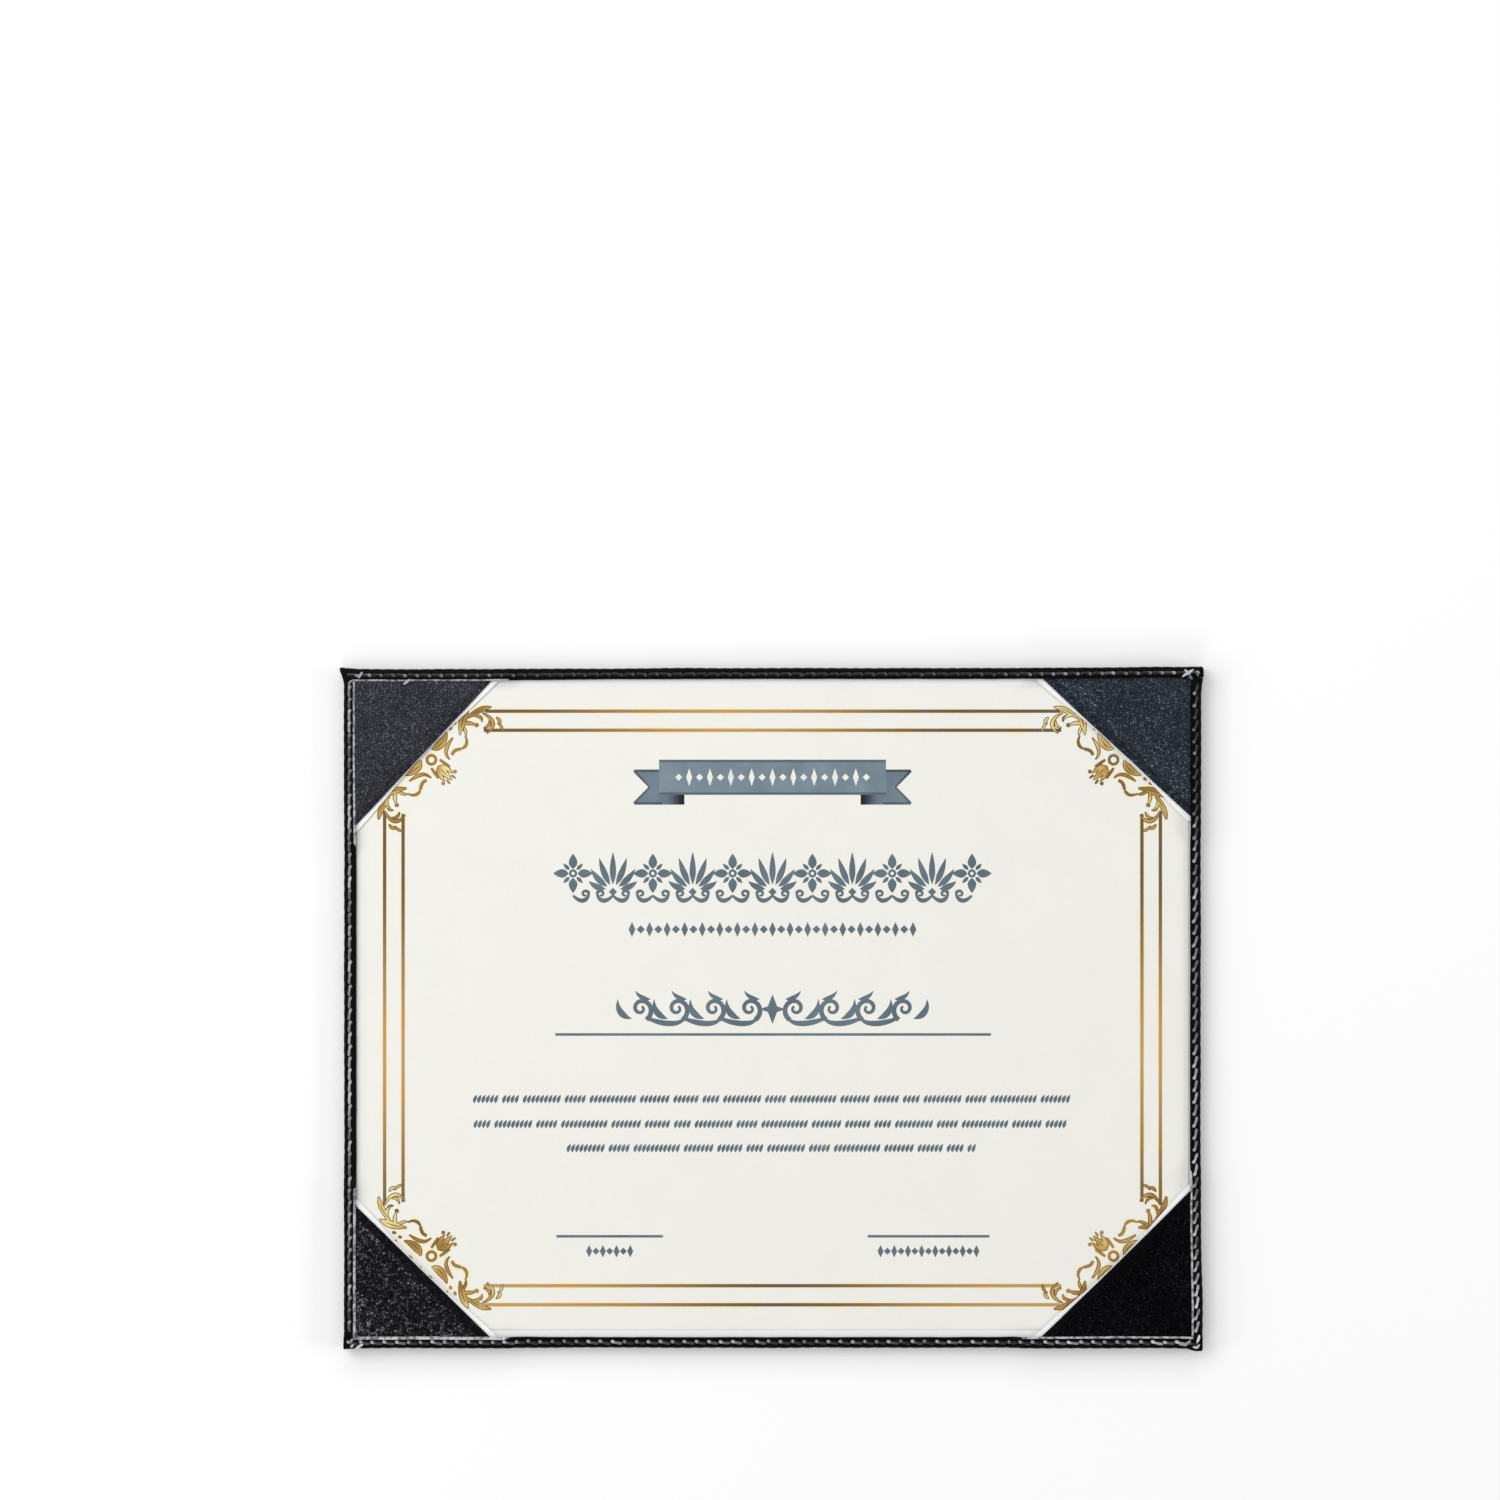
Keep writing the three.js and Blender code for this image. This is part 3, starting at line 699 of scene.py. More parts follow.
def make_stitch(length, head, width, bow, flatness, sink):
    """One stitch lying along X. It rises from its needle hole in a round head, bows out and lies
    down to a thinner tail, and dives into the next hole."""
    path, radii, tails = [], [], []
    for i in range(STITCH_STEPS + 1):
        share = i / STITCH_STEPS
        tail = ease((share - STITCH_HEAD) / STITCH_THINNING)
        end = ease(min(share, 1 - share) / STITCH_HEAD)
        path.append(Vector((length * (share - 0.5), -bow * math.sin(math.pi * share ** 0.75),
                            -sink * (1 - end) - TAIL_DROP * sink * tail)))
        radii.append((head + (width - head) * tail) / 2 * (STITCH_ENDS + (1 - STITCH_ENDS) * end))
        tails += [tail] * STITCH_SIDES
    rings, plies = thread_rings(path, radii, STITCH_TWIST, STITCH_SIDES)
    for middle, ring in zip(path, rings):
        for point in ring:
            point.z = middle.z + (point.z - middle.z) * flatness
    pattern = mesh_object("stitch_pattern", *loft(rings), [], sharp_angle=math.pi)
    store_values(pattern.data, "ply", plies)
    store_values(pattern.data, "tail", tails)
    return pattern


def stitch_row_nodes():
    """Geometry Nodes that set a pattern stitch at even steps along a seam line, each a little
    different in slant, length and tone."""
    tree = bpy.data.node_groups.new("stitch_row", "GeometryNodeTree")
    for name, kind in (("Geometry", "Geometry"), ("Pattern", "Object"), ("Stitches", "Int"),
                       ("Slant", "Float"), ("Slant Spread", "Float"), ("Length Spread", "Float"),
                       ("Tone Spread", "Float"), ("Seed", "Int"), ("Thread", "Material")):
        tree.interface.new_socket(name, in_out="INPUT", socket_type=f"NodeSocket{kind}")
    tree.interface.new_socket("Geometry", in_out="OUTPUT", socket_type="NodeSocketGeometry")
    add = partial(add_node, tree)
    given = add("NodeGroupInput").outputs

    def spread(amount, seed_step):
        """A random number from minus to plus an input, drawn for each stitch."""
        lowest = add("ShaderNodeMath", (given[amount], -1.0), operation="MULTIPLY")
        seed = add("ShaderNodeMath", (given["Seed"], float(seed_step)), operation="ADD")
        return add("FunctionNodeRandomValue", {"Min": lowest, "Max": given[amount], "Seed": seed},
                   data_type="FLOAT")

    line = add("GeometryNodeMeshToCurve", {"Mesh": given["Geometry"]})
    even = add("GeometryNodeResampleCurve", {"Curve": line, "Count": given["Stitches"]}, mode="COUNT")
    level = add("FunctionNodeAxesToRotation", (add("GeometryNodeInputTangent"), (0.0, 0.0, 1.0)),
                primary_axis="X", secondary_axis="Z")
    slant = add("ShaderNodeMath", (given["Slant"], spread("Slant Spread", 1)), operation="ADD")
    turn = add("FunctionNodeEulerToRotation", (add("ShaderNodeCombineXYZ", {"Z": slant}),))
    rotation = add("FunctionNodeRotateRotation", (level, turn), rotation_space="LOCAL")
    longer = add("ShaderNodeMath", (spread("Length Spread", 2), 1.0), operation="ADD")
    pattern = add("GeometryNodeObjectInfo", {"Object": given["Pattern"]}).outputs["Geometry"]
    stitches = add("GeometryNodeInstanceOnPoints", {
        "Points": even, "Instance": pattern, "Rotation": rotation,
        "Scale": add("ShaderNodeCombineXYZ", (longer, 1.0, 1.0))})
    tone = add("GeometryNodeInputNamedAttribute", {"Name": "tone"}, data_type="FLOAT")
    own_tone = add("ShaderNodeMath", (tone, spread("Tone Spread", 3)), operation="ADD", use_clamp=True)
    kept = add("GeometryNodeStoreNamedAttribute", {"Geometry": stitches, "Name": "tone", "Value": own_tone},
               data_type="FLOAT", domain="INSTANCE")
    real = add("GeometryNodeRealizeInstances", {"Geometry": kept})
    done = add("GeometryNodeSetMaterial", {"Geometry": real, "Material": given["Thread"]})
    add("NodeGroupOutput", {"Geometry": done})
    return tree


def mesh_from_nodes(name, base, tree, values):
    """The plain mesh object that a node tree makes from a base object, which is removed."""
    modifier = base.modifiers.new("rows", "NODES")
    modifier.node_group = tree
    for item in tree.interface.items_tree:
        if item.item_type == "SOCKET" and item.in_out == "INPUT" and item.name in values:
            modifier[item.identifier] = values[item.name]
    graph = bpy.context.evaluated_depsgraph_get()
    mesh = bpy.data.meshes.new_from_object(base.evaluated_get(graph), preserve_all_data_layers=True,
                                           depsgraph=graph)
    base.modifiers.remove(modifier)
    bpy.data.objects.remove(base)
    if not mesh.polygons:
        raise RuntimeError(f"{name}: the node tree made nothing")
    mesh.name = name
    return link_object(name, mesh)


def seam_line(side, pitch, height_at, tone_at):
    """A line of edges along a side's seam, from its first stitch to its last."""
    half = seam_half(side) - pitch / 2
    count = round(2 * half / MM)
    places = [-half + 2 * half * i / count for i in range(count + 1)]
    mesh = bpy.data.meshes.new("seam_line")
    mesh.from_pydata([corner_pull(rim_point(side, along, SEAM_INSET, height_at(along))) for along in places],
                     [(i, i + 1) for i in range(count)], [])
    store_values(mesh, "tone", [tone_at(along / half) for along in places])
    store_values(mesh, "fade", [between(side.fades, along / half) for along in places])
    return link_object("seam_line", mesh)


def side_tone(side, share):
    """Brightness of a side's thread, painted as the light falls on that side, with slow random changes along
    every seam.
    """
    return between(side.tones, share) + TONE_WANDER * wave((share * TONE_WANDER_WAVES, 0), 1.0, SIDES.index(side) + 2.5)


# Corner pockets.

def flap_edges(node):
    """A pocket's corner point, the two ends of its diagonal, and the diagonal's direction."""
    low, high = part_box(node)
    outer_x, outer_y = (max(ends, key=abs) for ends in ((low.x, high.x), (low.y, high.y)))
    first, second = Vector((low.x + high.x - outer_x, outer_y)), Vector((outer_x, low.y + high.y - outer_y))
    return Vector((outer_x, outer_y)), first, second, (second - first).normalized()


def past_rim(point):
    """How far a place lies in from the rim's inner edge. Below zero it is under the lip."""
    return min(OPENING_X - abs(point.x), OPENING_Y - abs(point.y))


def make_flap(name, node, columns, section, bow, materials):
    """A closed triangular flap. Its section is a list of distances from the diagonal towards the
    corner, each with a function that gives the height there."""
    corner, first, second, diagonal = flap_edges(node)
    depth = abs((corner - first).cross(diagonal))
    rings = []
    for i in range(columns + 1):
        share = i / columns
        edge = first.lerp(second, share)
        outwards = (edge - corner).normalized()
        ring = []
        for distance, height in section(depth):
            place = edge.lerp(corner, distance / depth)
            place += bow(share, place) * max(0.0, 1 - distance / EDGE_REACH) * outwards
            ring.append(Vector((place.x, place.y, height(place, distance))))
        rings.append(ring)
    return mesh_object(name, *loft(rings), materials, sharp_angle=1.0)


def pocket_section(looks, seed):
    """Section of a pocket's leather: a turned and flattened hem at the diagonal, then a slightly
    domed sheet that is pinned flat at the rim."""
    def relief(place):
        dome = looks.dome * ease(past_rim(place) / DOME_REACH)
        long_wave, short_wave = RIPPLE_WAVES
        ripple = looks.ripple * (wave(place, long_wave, seed) + 0.5 * wave(place, short_wave, seed + 4))
        return ease(past_rim(place) / PINNED) * (dome + ripple)

    def upper(place, distance):
        hem = looks.hem_rise * (1 - ease((distance - HEM_WIDTH) / HEM_SOFTNESS + 0.5))
        crease = -CREASE_DEPTH * bell((distance - CREASE_PLACE) / CREASE_WIDTH)
        skived = -looks.skiving * (1 - ease(distance / SKIVED_WIDTH))
        return POCKET_TOP + relief(place) + (hem + crease + skived) * ease(past_rim(place) / HEM_FADE)

    def lower(place, distance):
        return POCKET_BOTTOM + relief(place)

    def edge(share):
        return lambda place, distance: lower(place, 0) * (1 - share) + upper(place, 0) * share

    def section(depth):
        rest = depth - HEM_STEPS[-1]
        count = round(rest / POCKET_STEP)
        distances = HEM_STEPS + [HEM_STEPS[-1] + rest * (i + 1) / count for i in range(count)]
        coarse = distances[::6] + ([] if (len(distances) - 1) % 6 == 0 else [distances[-1]])
        return ([(distance, lower) for distance in reversed(coarse)]
                + [(inwards * MM, edge(share)) for inwards, share in HEM_EDGE]
                + [(distance, upper) for distance in distances])
    return section


def lining_section(looks):
    """Section of a pocket's paper lining: a thin sheet whose free edge lies down a little."""
    def height(base):
        return lambda place, distance: base - looks.droop * (
            1 - ease(distance / LINING_STEPS[-1])) * ease(past_rim(place) / LINING_FADE)

    def section(depth):
        distances = [*LINING_STEPS, depth]
        return [(distance, height(LINING_BOTTOM)) for distance in reversed(distances)] + \
               [(distance, height(LINING_TOP)) for distance in distances]
    return section


def mark_hem(flap, node, strength):
    """Stores how strong the painted shade on a pocket's leather is: along its turned hem, and not past it."""
    corner, first, second, diagonal = flap_edges(node)
    distances = [abs((vertex.co.xy - first).cross(diagonal)) for vertex in flap.data.vertices]
    store_values(flap.data, "pressed", [strength * (1 - ease((distance - HEM_SHADE_WIDTH) / HEM_SHADE_SOFTNESS))
                                        for distance in distances])


# Print.

class PrintPlate:
    """Collects the flat shapes printed in one ink. Shapes that cross are laid at different levels,
    so that none share a face."""

    def __init__(self):
        self.points, self.faces = [], []

    def add_shape(self, outline, level=0):
        first, size = len(self.points), len(outline)
        for height in self.heights(level):
            self.points += [Vector((p.real * MM, p.imag * MM, height)) for p in outline]
        self.faces += [tuple(range(first, first + size)), tuple(range(first + size, first + 2 * size))]
        self.faces += [(first + i, first + (i + 1) % size, first + size + (i + 1) % size, first + size + i)
                       for i in range(size)]

    def add_stroke(self, path, widths, level=0):
        """A stroke along a path whose width changes from place to place. Inside a tight bend it is
        narrower, so that it doesn't cross itself. A path that ends where it starts is a ring."""
        low, high = self.heights(level)
        first, last = len(self.points), len(path) - 1
        ring = abs(path[0] - path[last]) < 1e-6
        for i, (place, width) in enumerate(zip(path, widths)):
            before, after = path[max(i - 1, 0)], path[min(i + 1, last)]
            if ring and i in (0, last):
                before, after = path[last - 1], path[1]
            sideways = (after - before) / abs(after - before) * 1j
            sides = [width / 2, width / 2]
            turn = cmath.phase((after - place) / (place - before)) if before != place != after else 0.0
            if abs(turn) > 1e-3:
                bend_radius = abs(after - before) / 2 / abs(turn)
                sides[turn < 0] = min(width / 2, 0.85 * bend_radius)
            left, right = place + sideways * sides[0], place - sideways * sides[1]
            self.points += [Vector((spot.real * MM, spot.imag * MM, height))
                            for spot, height in ((left, low), (right, low), (right, high), (left, high))]
        for start in range(first, first + 4 * last, 4):
            self.faces += [(start + j, start + (j + 1) % 4, start + 4 + (j + 1) % 4, start + 4 + j)
                           for j in range(4)]
        if not ring:
            self.faces += [tuple(range(end, end + 4)) for end in (first, first + 4 * last)]

    def add_line(self, start, end, width, level=0):
        self.add_stroke([start, end], [width] * 2, level)

    def add_beads(self, centre, count, pitch, sizes, level=0):
        """A row of lozenges of two sizes in turn."""
        for i in range(count):
            self.add_shape(lozenge(centre + (i - (count - 1) / 2) * pitch, *sizes[i % 2]), level)

    def heights(self, level):
        low = SHEET_TOP + INK_LIFT
        return low, low + INK_THICKNESS + INK_STEP * level

    def make(self, name, material):
        ride(mesh_object(name, self.points, self.faces, [material]), "certificate", "certificate_paper")


def mirrored(path, sign, place=0):
    """A path at a place, mirrored left to right where the sign is -1."""
    return [place + complex(sign * p.real, p.imag) for p in path]


def bend(a, b, c, d, steps=14):
    """Places along a cubic curve."""
    shares = [i / steps for i in range(steps + 1)]
    return [(1 - t) ** 3 * a + 3 * (1 - t) ** 2 * t * b + 3 * (1 - t) * t * t * c + t ** 3 * d
            for t in shares]


def volute(centre, start, turns, closing=1.3, steps=22):
    """A spiral from start that closes in on its centre. Negative turns go clockwise."""
    arm = start - centre
    return [centre + arm * cmath.exp(complex(-closing, 2 * math.pi * turns) * i / steps)
            for i in range(steps + 1)]


def swell(count, thin, thick, peak=0.5):
    """Widths that swell from thin at both ends to thick at the peak."""
    shares = [i / (count - 1) for i in range(count)]
    shares = [share / peak / 2 if share < peak else 0.5 + (share - peak) / (1 - peak) / 2
              for share in shares]
    return [thin + (thick - thin) * math.sin(math.pi * share) for share in shares]


def taper(count, thick, thin):
    return [thick + (thin - thick) * i / (count - 1) for i in range(count)]


def leaf(base, tip, lean, thick):
    """A pointed leaf from base to tip that leans to one side, as a path and its widths."""
    reach = tip - base
    aside = reach * 1j * lean
    path = bend(base, base + reach * 0.3 + aside, base + reach * 0.7 + aside, tip, 9)
    return path, swell(len(path), 0.05, thick, 0.4)


def ring_stroke(centre, radius, width, steps=20):
    """A ring as a path and its widths."""
    path = [centre + radius * cmath.exp(2j * math.pi * i / steps) for i in range(steps + 1)]
    return path, [width] * len(path)


def lozenge(centre, half_x, half_y):
    return [centre + half_x, centre + 1j * half_y, centre - half_x, centre - 1j * half_y]


def corner_strokes():
    """The strokes of a corner's scroll: two mirrored halves and the crest between them. Each is a
    path, its widths, and whether gold is laid inside its brown outline."""
    half = [(bend(*points), thin, thick, peak, gilded)
            for curves, gilded in ((LEAVES, True), (STEMS, False)) for *points, thin, thick, peak in curves]
    half.append((volute(4.5 - 2.8j, 2.4 - 2.6j, 1.1, 1.3), 0.5, 1.0, 0.4, False))
    strokes = [(mirrored(path, sign), swell(len(path), thin, thick, peak), gilded)
               for sign in (1, -1) for path, thin, thick, peak, gilded in half]
    strokes += [(*leaf(*petal), True) for petal in CREST_LEAVES]
    return [*strokes, (*ring_stroke(3.3j, 1.5, 1.0), False)]


def corner_ornaments(tint, lines, brown, gold):
    """The leafy scroll at each corner of the frame. Each stroke has a pale tint round it. The
    leaves have gold inside a brown outline, and the widest a brown vein."""
    along, inwards = complex(1, -1) / math.sqrt(2), complex(-1, -1) / math.sqrt(2)
    for sign_x, sign_y in CORNER_SIGNS.values():
        for level, (path, widths, gilded) in enumerate(corner_strokes(), 1):
            placed = [ORNAMENT_PLACE + p.real * along + p.imag * inwards for p in path]
            placed = [complex(sign_x * p.real, sign_y * p.imag) for p in placed]
            tint.add_stroke(placed, [width + TINT_MARGIN for width in widths], level)
            (brown if gilded else lines).add_stroke(placed, widths, level + INK_ORDER)
            if gilded:
                inner = [max(width - 2 * OUTLINE, 0.04) for width in widths]
                gold.add_stroke(placed, inner, level + 2 * INK_ORDER)
                if max(widths) > VEINED:
                    vein = placed[2:-3]
                    brown.add_stroke(vein, swell(len(vein), 0.06, VEIN), level + 3 * INK_ORDER)


def frame_rules(tint, top, bottom, sides, width):
    """Two rules on each side, between the corner ornaments, with a pale tint round them."""
    for rule_x, rule_y, end_x, end_y in RULES:
        for sign, level_ink in ((1, top), (-1, bottom)):
            for ink, start, end in (
                    (level_ink, complex(-end_x, sign * rule_y), complex(end_x, sign * rule_y)),
                    (sides, complex(sign * rule_x, -end_y), complex(sign * rule_x, end_y))):
                tint.add_line(start, end, width + TINT_MARGIN)
                ink.add_line(start, end, width, INK_ORDER)


def palmette(base, height, petals):
    """An upright fan of petals over a base line, as strokes."""
    strokes = []
    for i in range(petals):
        share = 2 * i / (petals - 1) - 1
        heading = cmath.exp(1j * math.pi * (0.5 - 0.36 * share))
        reach = height * (1 - 0.34 * abs(share) ** 1.3)
        strokes.append(leaf(base + 0.2 * height * heading, base + reach * heading, -0.12 * share,
                            0.155 * height))
    return strokes


def title_frieze(slate):
    """A frieze in the place of the title: palmettes and flowers in turn, that stand on linked
    scrolls."""
    level = 0
    for i in range(-TITLE_REACH, TITLE_REACH + 1):
        base = TITLE_PLACE + complex(TITLE_PITCH * i, -8.4)
        if i % 2 == 0:
            for stroke in palmette(base + 3.2j, PALMETTE_HEIGHT, PALMETTE_PETALS):
                level += 1
                slate.add_stroke(*stroke, level % 8)
            slate.add_shape(lozenge(base + 3.4j, 1.4, 1.4), 9)
        else:
            heart = base + 9.6j
            for quarter in range(4):
                for ring, (turn, start, end, thick) in enumerate(FLOWER_PETALS):
                    heading = 1j ** (quarter + turn)
                    petal = leaf(heart + start * heading, heart + end * heading, 0.0, thick)
                    slate.add_stroke(*petal, quarter + 4 * ring)
            slate.add_stroke(*ring_stroke(heart, 1.0, 0.8, 14), 9)
    start = complex(-TITLE_PITCH / 2, 0)
    arm = bend(start, start + 2.4 - 2.6j, start + 4.6 - 2.2j, start + 5.4 + 0.6j, 12)
    curl = volute(start + 4.0 + 0.5j, start + 5.4 + 0.6j, 0.9, 1.2, 14)
    for i in range(-TITLE_REACH, TITLE_REACH):
        middle = TITLE_PLACE + complex(TITLE_PITCH * (i + 0.5), -6.2)
        for sign in (1, -1):
            for path, widths in ((arm, swell(len(arm), 0.7, 1.5)), (curl, taper(len(curl), 1.1, 0.6))):
                slate.add_stroke(mirrored(path, sign, middle), widths, 10 + (sign > 0))


def name_scroll(slate):
    """A running scroll in the place of the name, mirrored about a cross of two lozenges."""
    for i in range(1, NAME_CURLS + 1):
        middle = complex(NAME_PITCH * i - 4.5, 0.2)
        spiral = volute(middle, middle + 4.3 * cmath.exp(1.35j * math.pi), -1.35, 1.7, 26)
        strokes = [(spiral, taper(len(spiral), 1.7, 0.8)),
                   leaf(middle + 3.0 - 3.4j, middle + 7.6 + 3.2j, -0.3, 2.2),
                   leaf(middle - 3.4 + 3.2j, middle + 1.8 + 6.0j, -0.2, 1.5)]
        if i < NAME_CURLS:
            link = bend(spiral[0], spiral[0] + 2.2 - 2.2j, middle + NAME_PITCH - 5.5 - 4.8j,
                        middle + NAME_PITCH - 2.6 - 3.3j, 12)
            strokes.append((link, swell(len(link), 1.0, 1.9)))
        for level, (path, widths) in enumerate(strokes, 4 * (i % 2)):
            for sign in (1, -1):
                slate.add_stroke(mirrored(path, sign, NAME_PLACE), widths, level)
    slate.add_shape(lozenge(NAME_PLACE, 1.9, 5.0), 8)
    slate.add_shape(lozenge(NAME_PLACE, 4.4, 1.5), 9)


def small_rows(slate):
    """Rules, and rows of beads and of small leaning leaves in the place of the lines of words."""
    for row in BEAD_ROWS:
        slate.add_beads(*row)
    for left, right, height in SLATE_RULES:
        slate.add_line(complex(left, height), complex(right, height), SLATE_RULE)
    for row, (half_width, height) in enumerate(BODY_ROWS):
        along, group = -half_width, row
        while along < half_width:
            for i in range(LEAF_GROUPS[group % len(LEAF_GROUPS)]):
                if along < half_width:
                    centre = complex(along, height)
                    slate.add_stroke(*leaf(centre - 0.5 - 1.4j, centre + 0.5 + 1.4j, 0.12, 1.2))
                along += LEAF_PITCH
            along += LEAF_GAP
            group += 1


# Settings, shown in the sidebar.

def size_setting(name, description, default, most=0.01):
    return bpy.props.FloatProperty(name=name, description=description, default=default, min=0.0, max=most,
                                   precision=5, subtype="DISTANCE", unit="LENGTH")


def colour_setting(name, description, code):
    return bpy.props.FloatVectorProperty(name=name, description=description, default=srgb(code), size=4,
                                         min=0.0, max=1.0, subtype="COLOR")


class RimSettings(bpy.types.PropertyGroup):
    crest: colour_setting("Leatherette", "Crests of the rim's grain", "#08080a")
    valley: colour_setting("Creases", "Creases of the rim's grain", "#030304")
    grain: size_setting("Grain", "Width of one pebble of the rim's grain", 0.75 * MM)
    depth: size_setting("Grain depth", "Height of the pebbles over the creases", 0.09 * MM)
    cut_edge: size_setting("Cut edge", "Width of the pale cut edge over the pockets", 0.7 * MM)
    cut_pale: colour_setting("Backing", "Pale fibre at the cut edge", "#cfcfd4")
    cut_dark: colour_setting("Backing in shade", "Darker fibre at the cut edge", "#6e6f75")
    crown: size_setting("Crown", "How far the strip bulges beside the seam", 0.14 * MM)
    groove: size_setting("Groove", "How deep the seam lies in the strip", 0.2 * MM)
    hole_depth: size_setting("Needle holes", "How much deeper the strip is pulled at a needle hole", 0.2 * MM)
    draw_in: size_setting("Draw-in", "How far each stitch draws the fold inwards", 0.12 * MM)
    sway: size_setting("Sway", "How far the edges wander from a straight line", 0.16 * MM)


class SeamSettings(bpy.types.PropertyGroup):
    pitch: size_setting("Pitch", "Length of one stitch with its gap", 4.0 * MM)
    length: size_setting("Stitch", "Length of one stitch", 4.1 * MM)
    head: size_setting("Head", "Width of a stitch where it rises from its hole", 1.15 * MM)
    width: size_setting("Tail", "Width of a stitch where it lies down to the next hole", 0.85 * MM)
    flatness: bpy.props.FloatProperty(name="Flatness", description="Height of the thread over its width",
                                      default=0.75, min=0.2, max=1.0)
    bow: size_setting("Bow", "How far a stitch bows out between its holes", 0.35 * MM)
    pale: colour_setting("Thread", "Thread on the crests of its plies", "#f2f2f4")
    # The thread's dark colour is reached in painted shade between the plies and towards each tail, and in
    # random soil.
    dark: colour_setting("Thread in shade", "Thread between its plies and where it is soiled", "#101012")
    seed: bpy.props.IntProperty(name="Seed", description="Choice of the small differences between stitches",
                                default=7)


class PocketSettings(bpy.types.PropertyGroup):
    grain: size_setting("Grain", "Width of one pebble of the pockets' grain", 0.8 * MM)
    depth: size_setting("Grain depth", "Height of the pebbles over the creases", 0.14 * MM)
    # One leather in each corner, painted with its own light: top left and top right greyer with a painted
    # sheen, bottom left dark with sparse painted glints, bottom right nearly black in painted shade.
    top_left: colour_setting("Top left", "Crests of the grain, top left pocket", "#989bac")
    top_right: colour_setting("Top right", "Crests of the grain, top right pocket", "#a0b4ce")
    bottom_left: colour_setting("Bottom left", "Crests of the grain, bottom left pocket", "#dddfec")
    bottom_right: colour_setting("Bottom right", "Crests of the grain, bottom right pocket", "#3a3c47")
    top_left_crease: colour_setting("Top left creases", "Creases, top left pocket", "#1a1b21")
    top_right_crease: colour_setting("Top right creases", "Creases, top right pocket", "#181d25")
    bottom_left_crease: colour_setting("Bottom left creases", "Creases, bottom left pocket", "#060608")
    bottom_right_crease: colour_setting("Bottom right creases", "Creases, bottom right pocket", "#020203")
    hem_rise: size_setting("Hem", "How far the turned hem stands over the pocket", 0.1 * MM)
    skiving: size_setting("Skived edge", "How much thinner the leather is at its diagonal edge", 0.4 * MM)
    dome: size_setting("Dome", "How far the pocket stands up between rim and hem", 0.15 * MM)
    ripple: size_setting("Ripple", "Height of the slow ripples in the leather", 0.09 * MM)
    droop: size_setting("Droop", "How far the lining's free edge lies down towards the sheet", 0.14 * MM)
    lining: colour_setting("Lining", "White lining that shows along the diagonal", "#fdfdfd")
    lining_clouds: colour_setting("Lining clouds", "Darker clouds in the lining's paper", "#fafafb")
    hollow: size_setting("Hollow", "How far the lining's edge swings out at its ends and in between",
                         0.65 * MM)


class PanelSettings(bpy.types.PropertyGroup):
    cover: colour_setting("Back cover", "Crests of the back cover's grain", "#26272b")
    cover_crease: colour_setting("Back cover creases", "Creases of the back cover's grain", "#07070a")
    grain: size_setting("Grain", "Width of one pebble of the back cover's grain", 1.15 * MM)
    depth: size_setting("Grain depth", "Height of the pebbles over the creases", 0.12 * MM)
    lining: colour_setting("Front lining", "Paper that lines the front of the board", "#fdfdfd")
    lining_clouds: colour_setting("Front lining clouds", "Darker clouds in the lining's paper", "#f8f8f9")
    board: colour_setting("Board", "Grey board inside", "#8f8b82")
    board_clouds: colour_setting("Board clouds", "Darker clouds in the grey board", "#7c776d")


class PrintSettings(bpy.types.PropertyGroup):
    paper: colour_setting("Paper", "Cream paper of the certificate", "#f2f1ea")
    paper_clouds: colour_setting("Paper clouds", "Darker clouds in the cream paper", "#efeee8")
    rule_dark: colour_setting("Rule, dark", "Dark ends of the rules", "#6a573a")
    rule_bright: colour_setting("Rule, bright", "Bright middle of the rules", "#c29a5e")
    gold_dark: colour_setting("Stem, dark", "Darkest tone of the scrolls' stems", "#77613a")
    gold: colour_setting("Stem", "Middle tone of the scrolls' stems", "#8c7245")
    gold_pale: colour_setting("Stem, bright", "Bright tone of the scrolls' stems", "#a68650")
    gold_deep: colour_setting("Gold, deep", "Darkest gold inside the leaves", "#a17c38")
    gold_warm: colour_setting("Gold", "Middle gold inside the leaves", "#cba458")
    gold_light: colour_setting("Gold, light", "Lightest gold inside the leaves", "#ecd890")
    gold_tint: colour_setting("Gold tint", "Pale tint laid under the scrolls and rules", "#faecca")
    brown: colour_setting("Brown", "Outlines of the leaves", "#634f30")
    brown_thin: colour_setting("Brown, thin", "Outlines of the leaves where the ink is thin", "#6f5a38")
    slate: colour_setting("Slate", "Ornaments and rules", "#5b6a73")
    slate_thin: colour_setting("Slate, thin", "Slate where the ink is thin", "#687781")
    ribbon: colour_setting("Ribbon", "Body of the ribbon", "#72838e")
    ribbon_pale: colour_setting("Ribbon, pale", "Paler parts of the ribbon", "#7f909c")
    ribbon_edge: colour_setting("Ribbon edge", "Lines along the ribbon's edges", "#59656e")
    tail: colour_setting("Ribbon tail", "Tails of the ribbon", "#687685")
    outline: colour_setting("Ribbon outline", "Dark lines round the ribbon's tails", "#3f484f")
    ribbon_fold: colour_setting("Ribbon fold", "Shaded folds of the ribbon", "#181b20")
    bead: colour_setting("Beads", "Beads on the ribbon where they are soiled", "#dfe1de")
    rule_width: size_setting("Rule", "Width of a gold rule", 1.12 * MM)


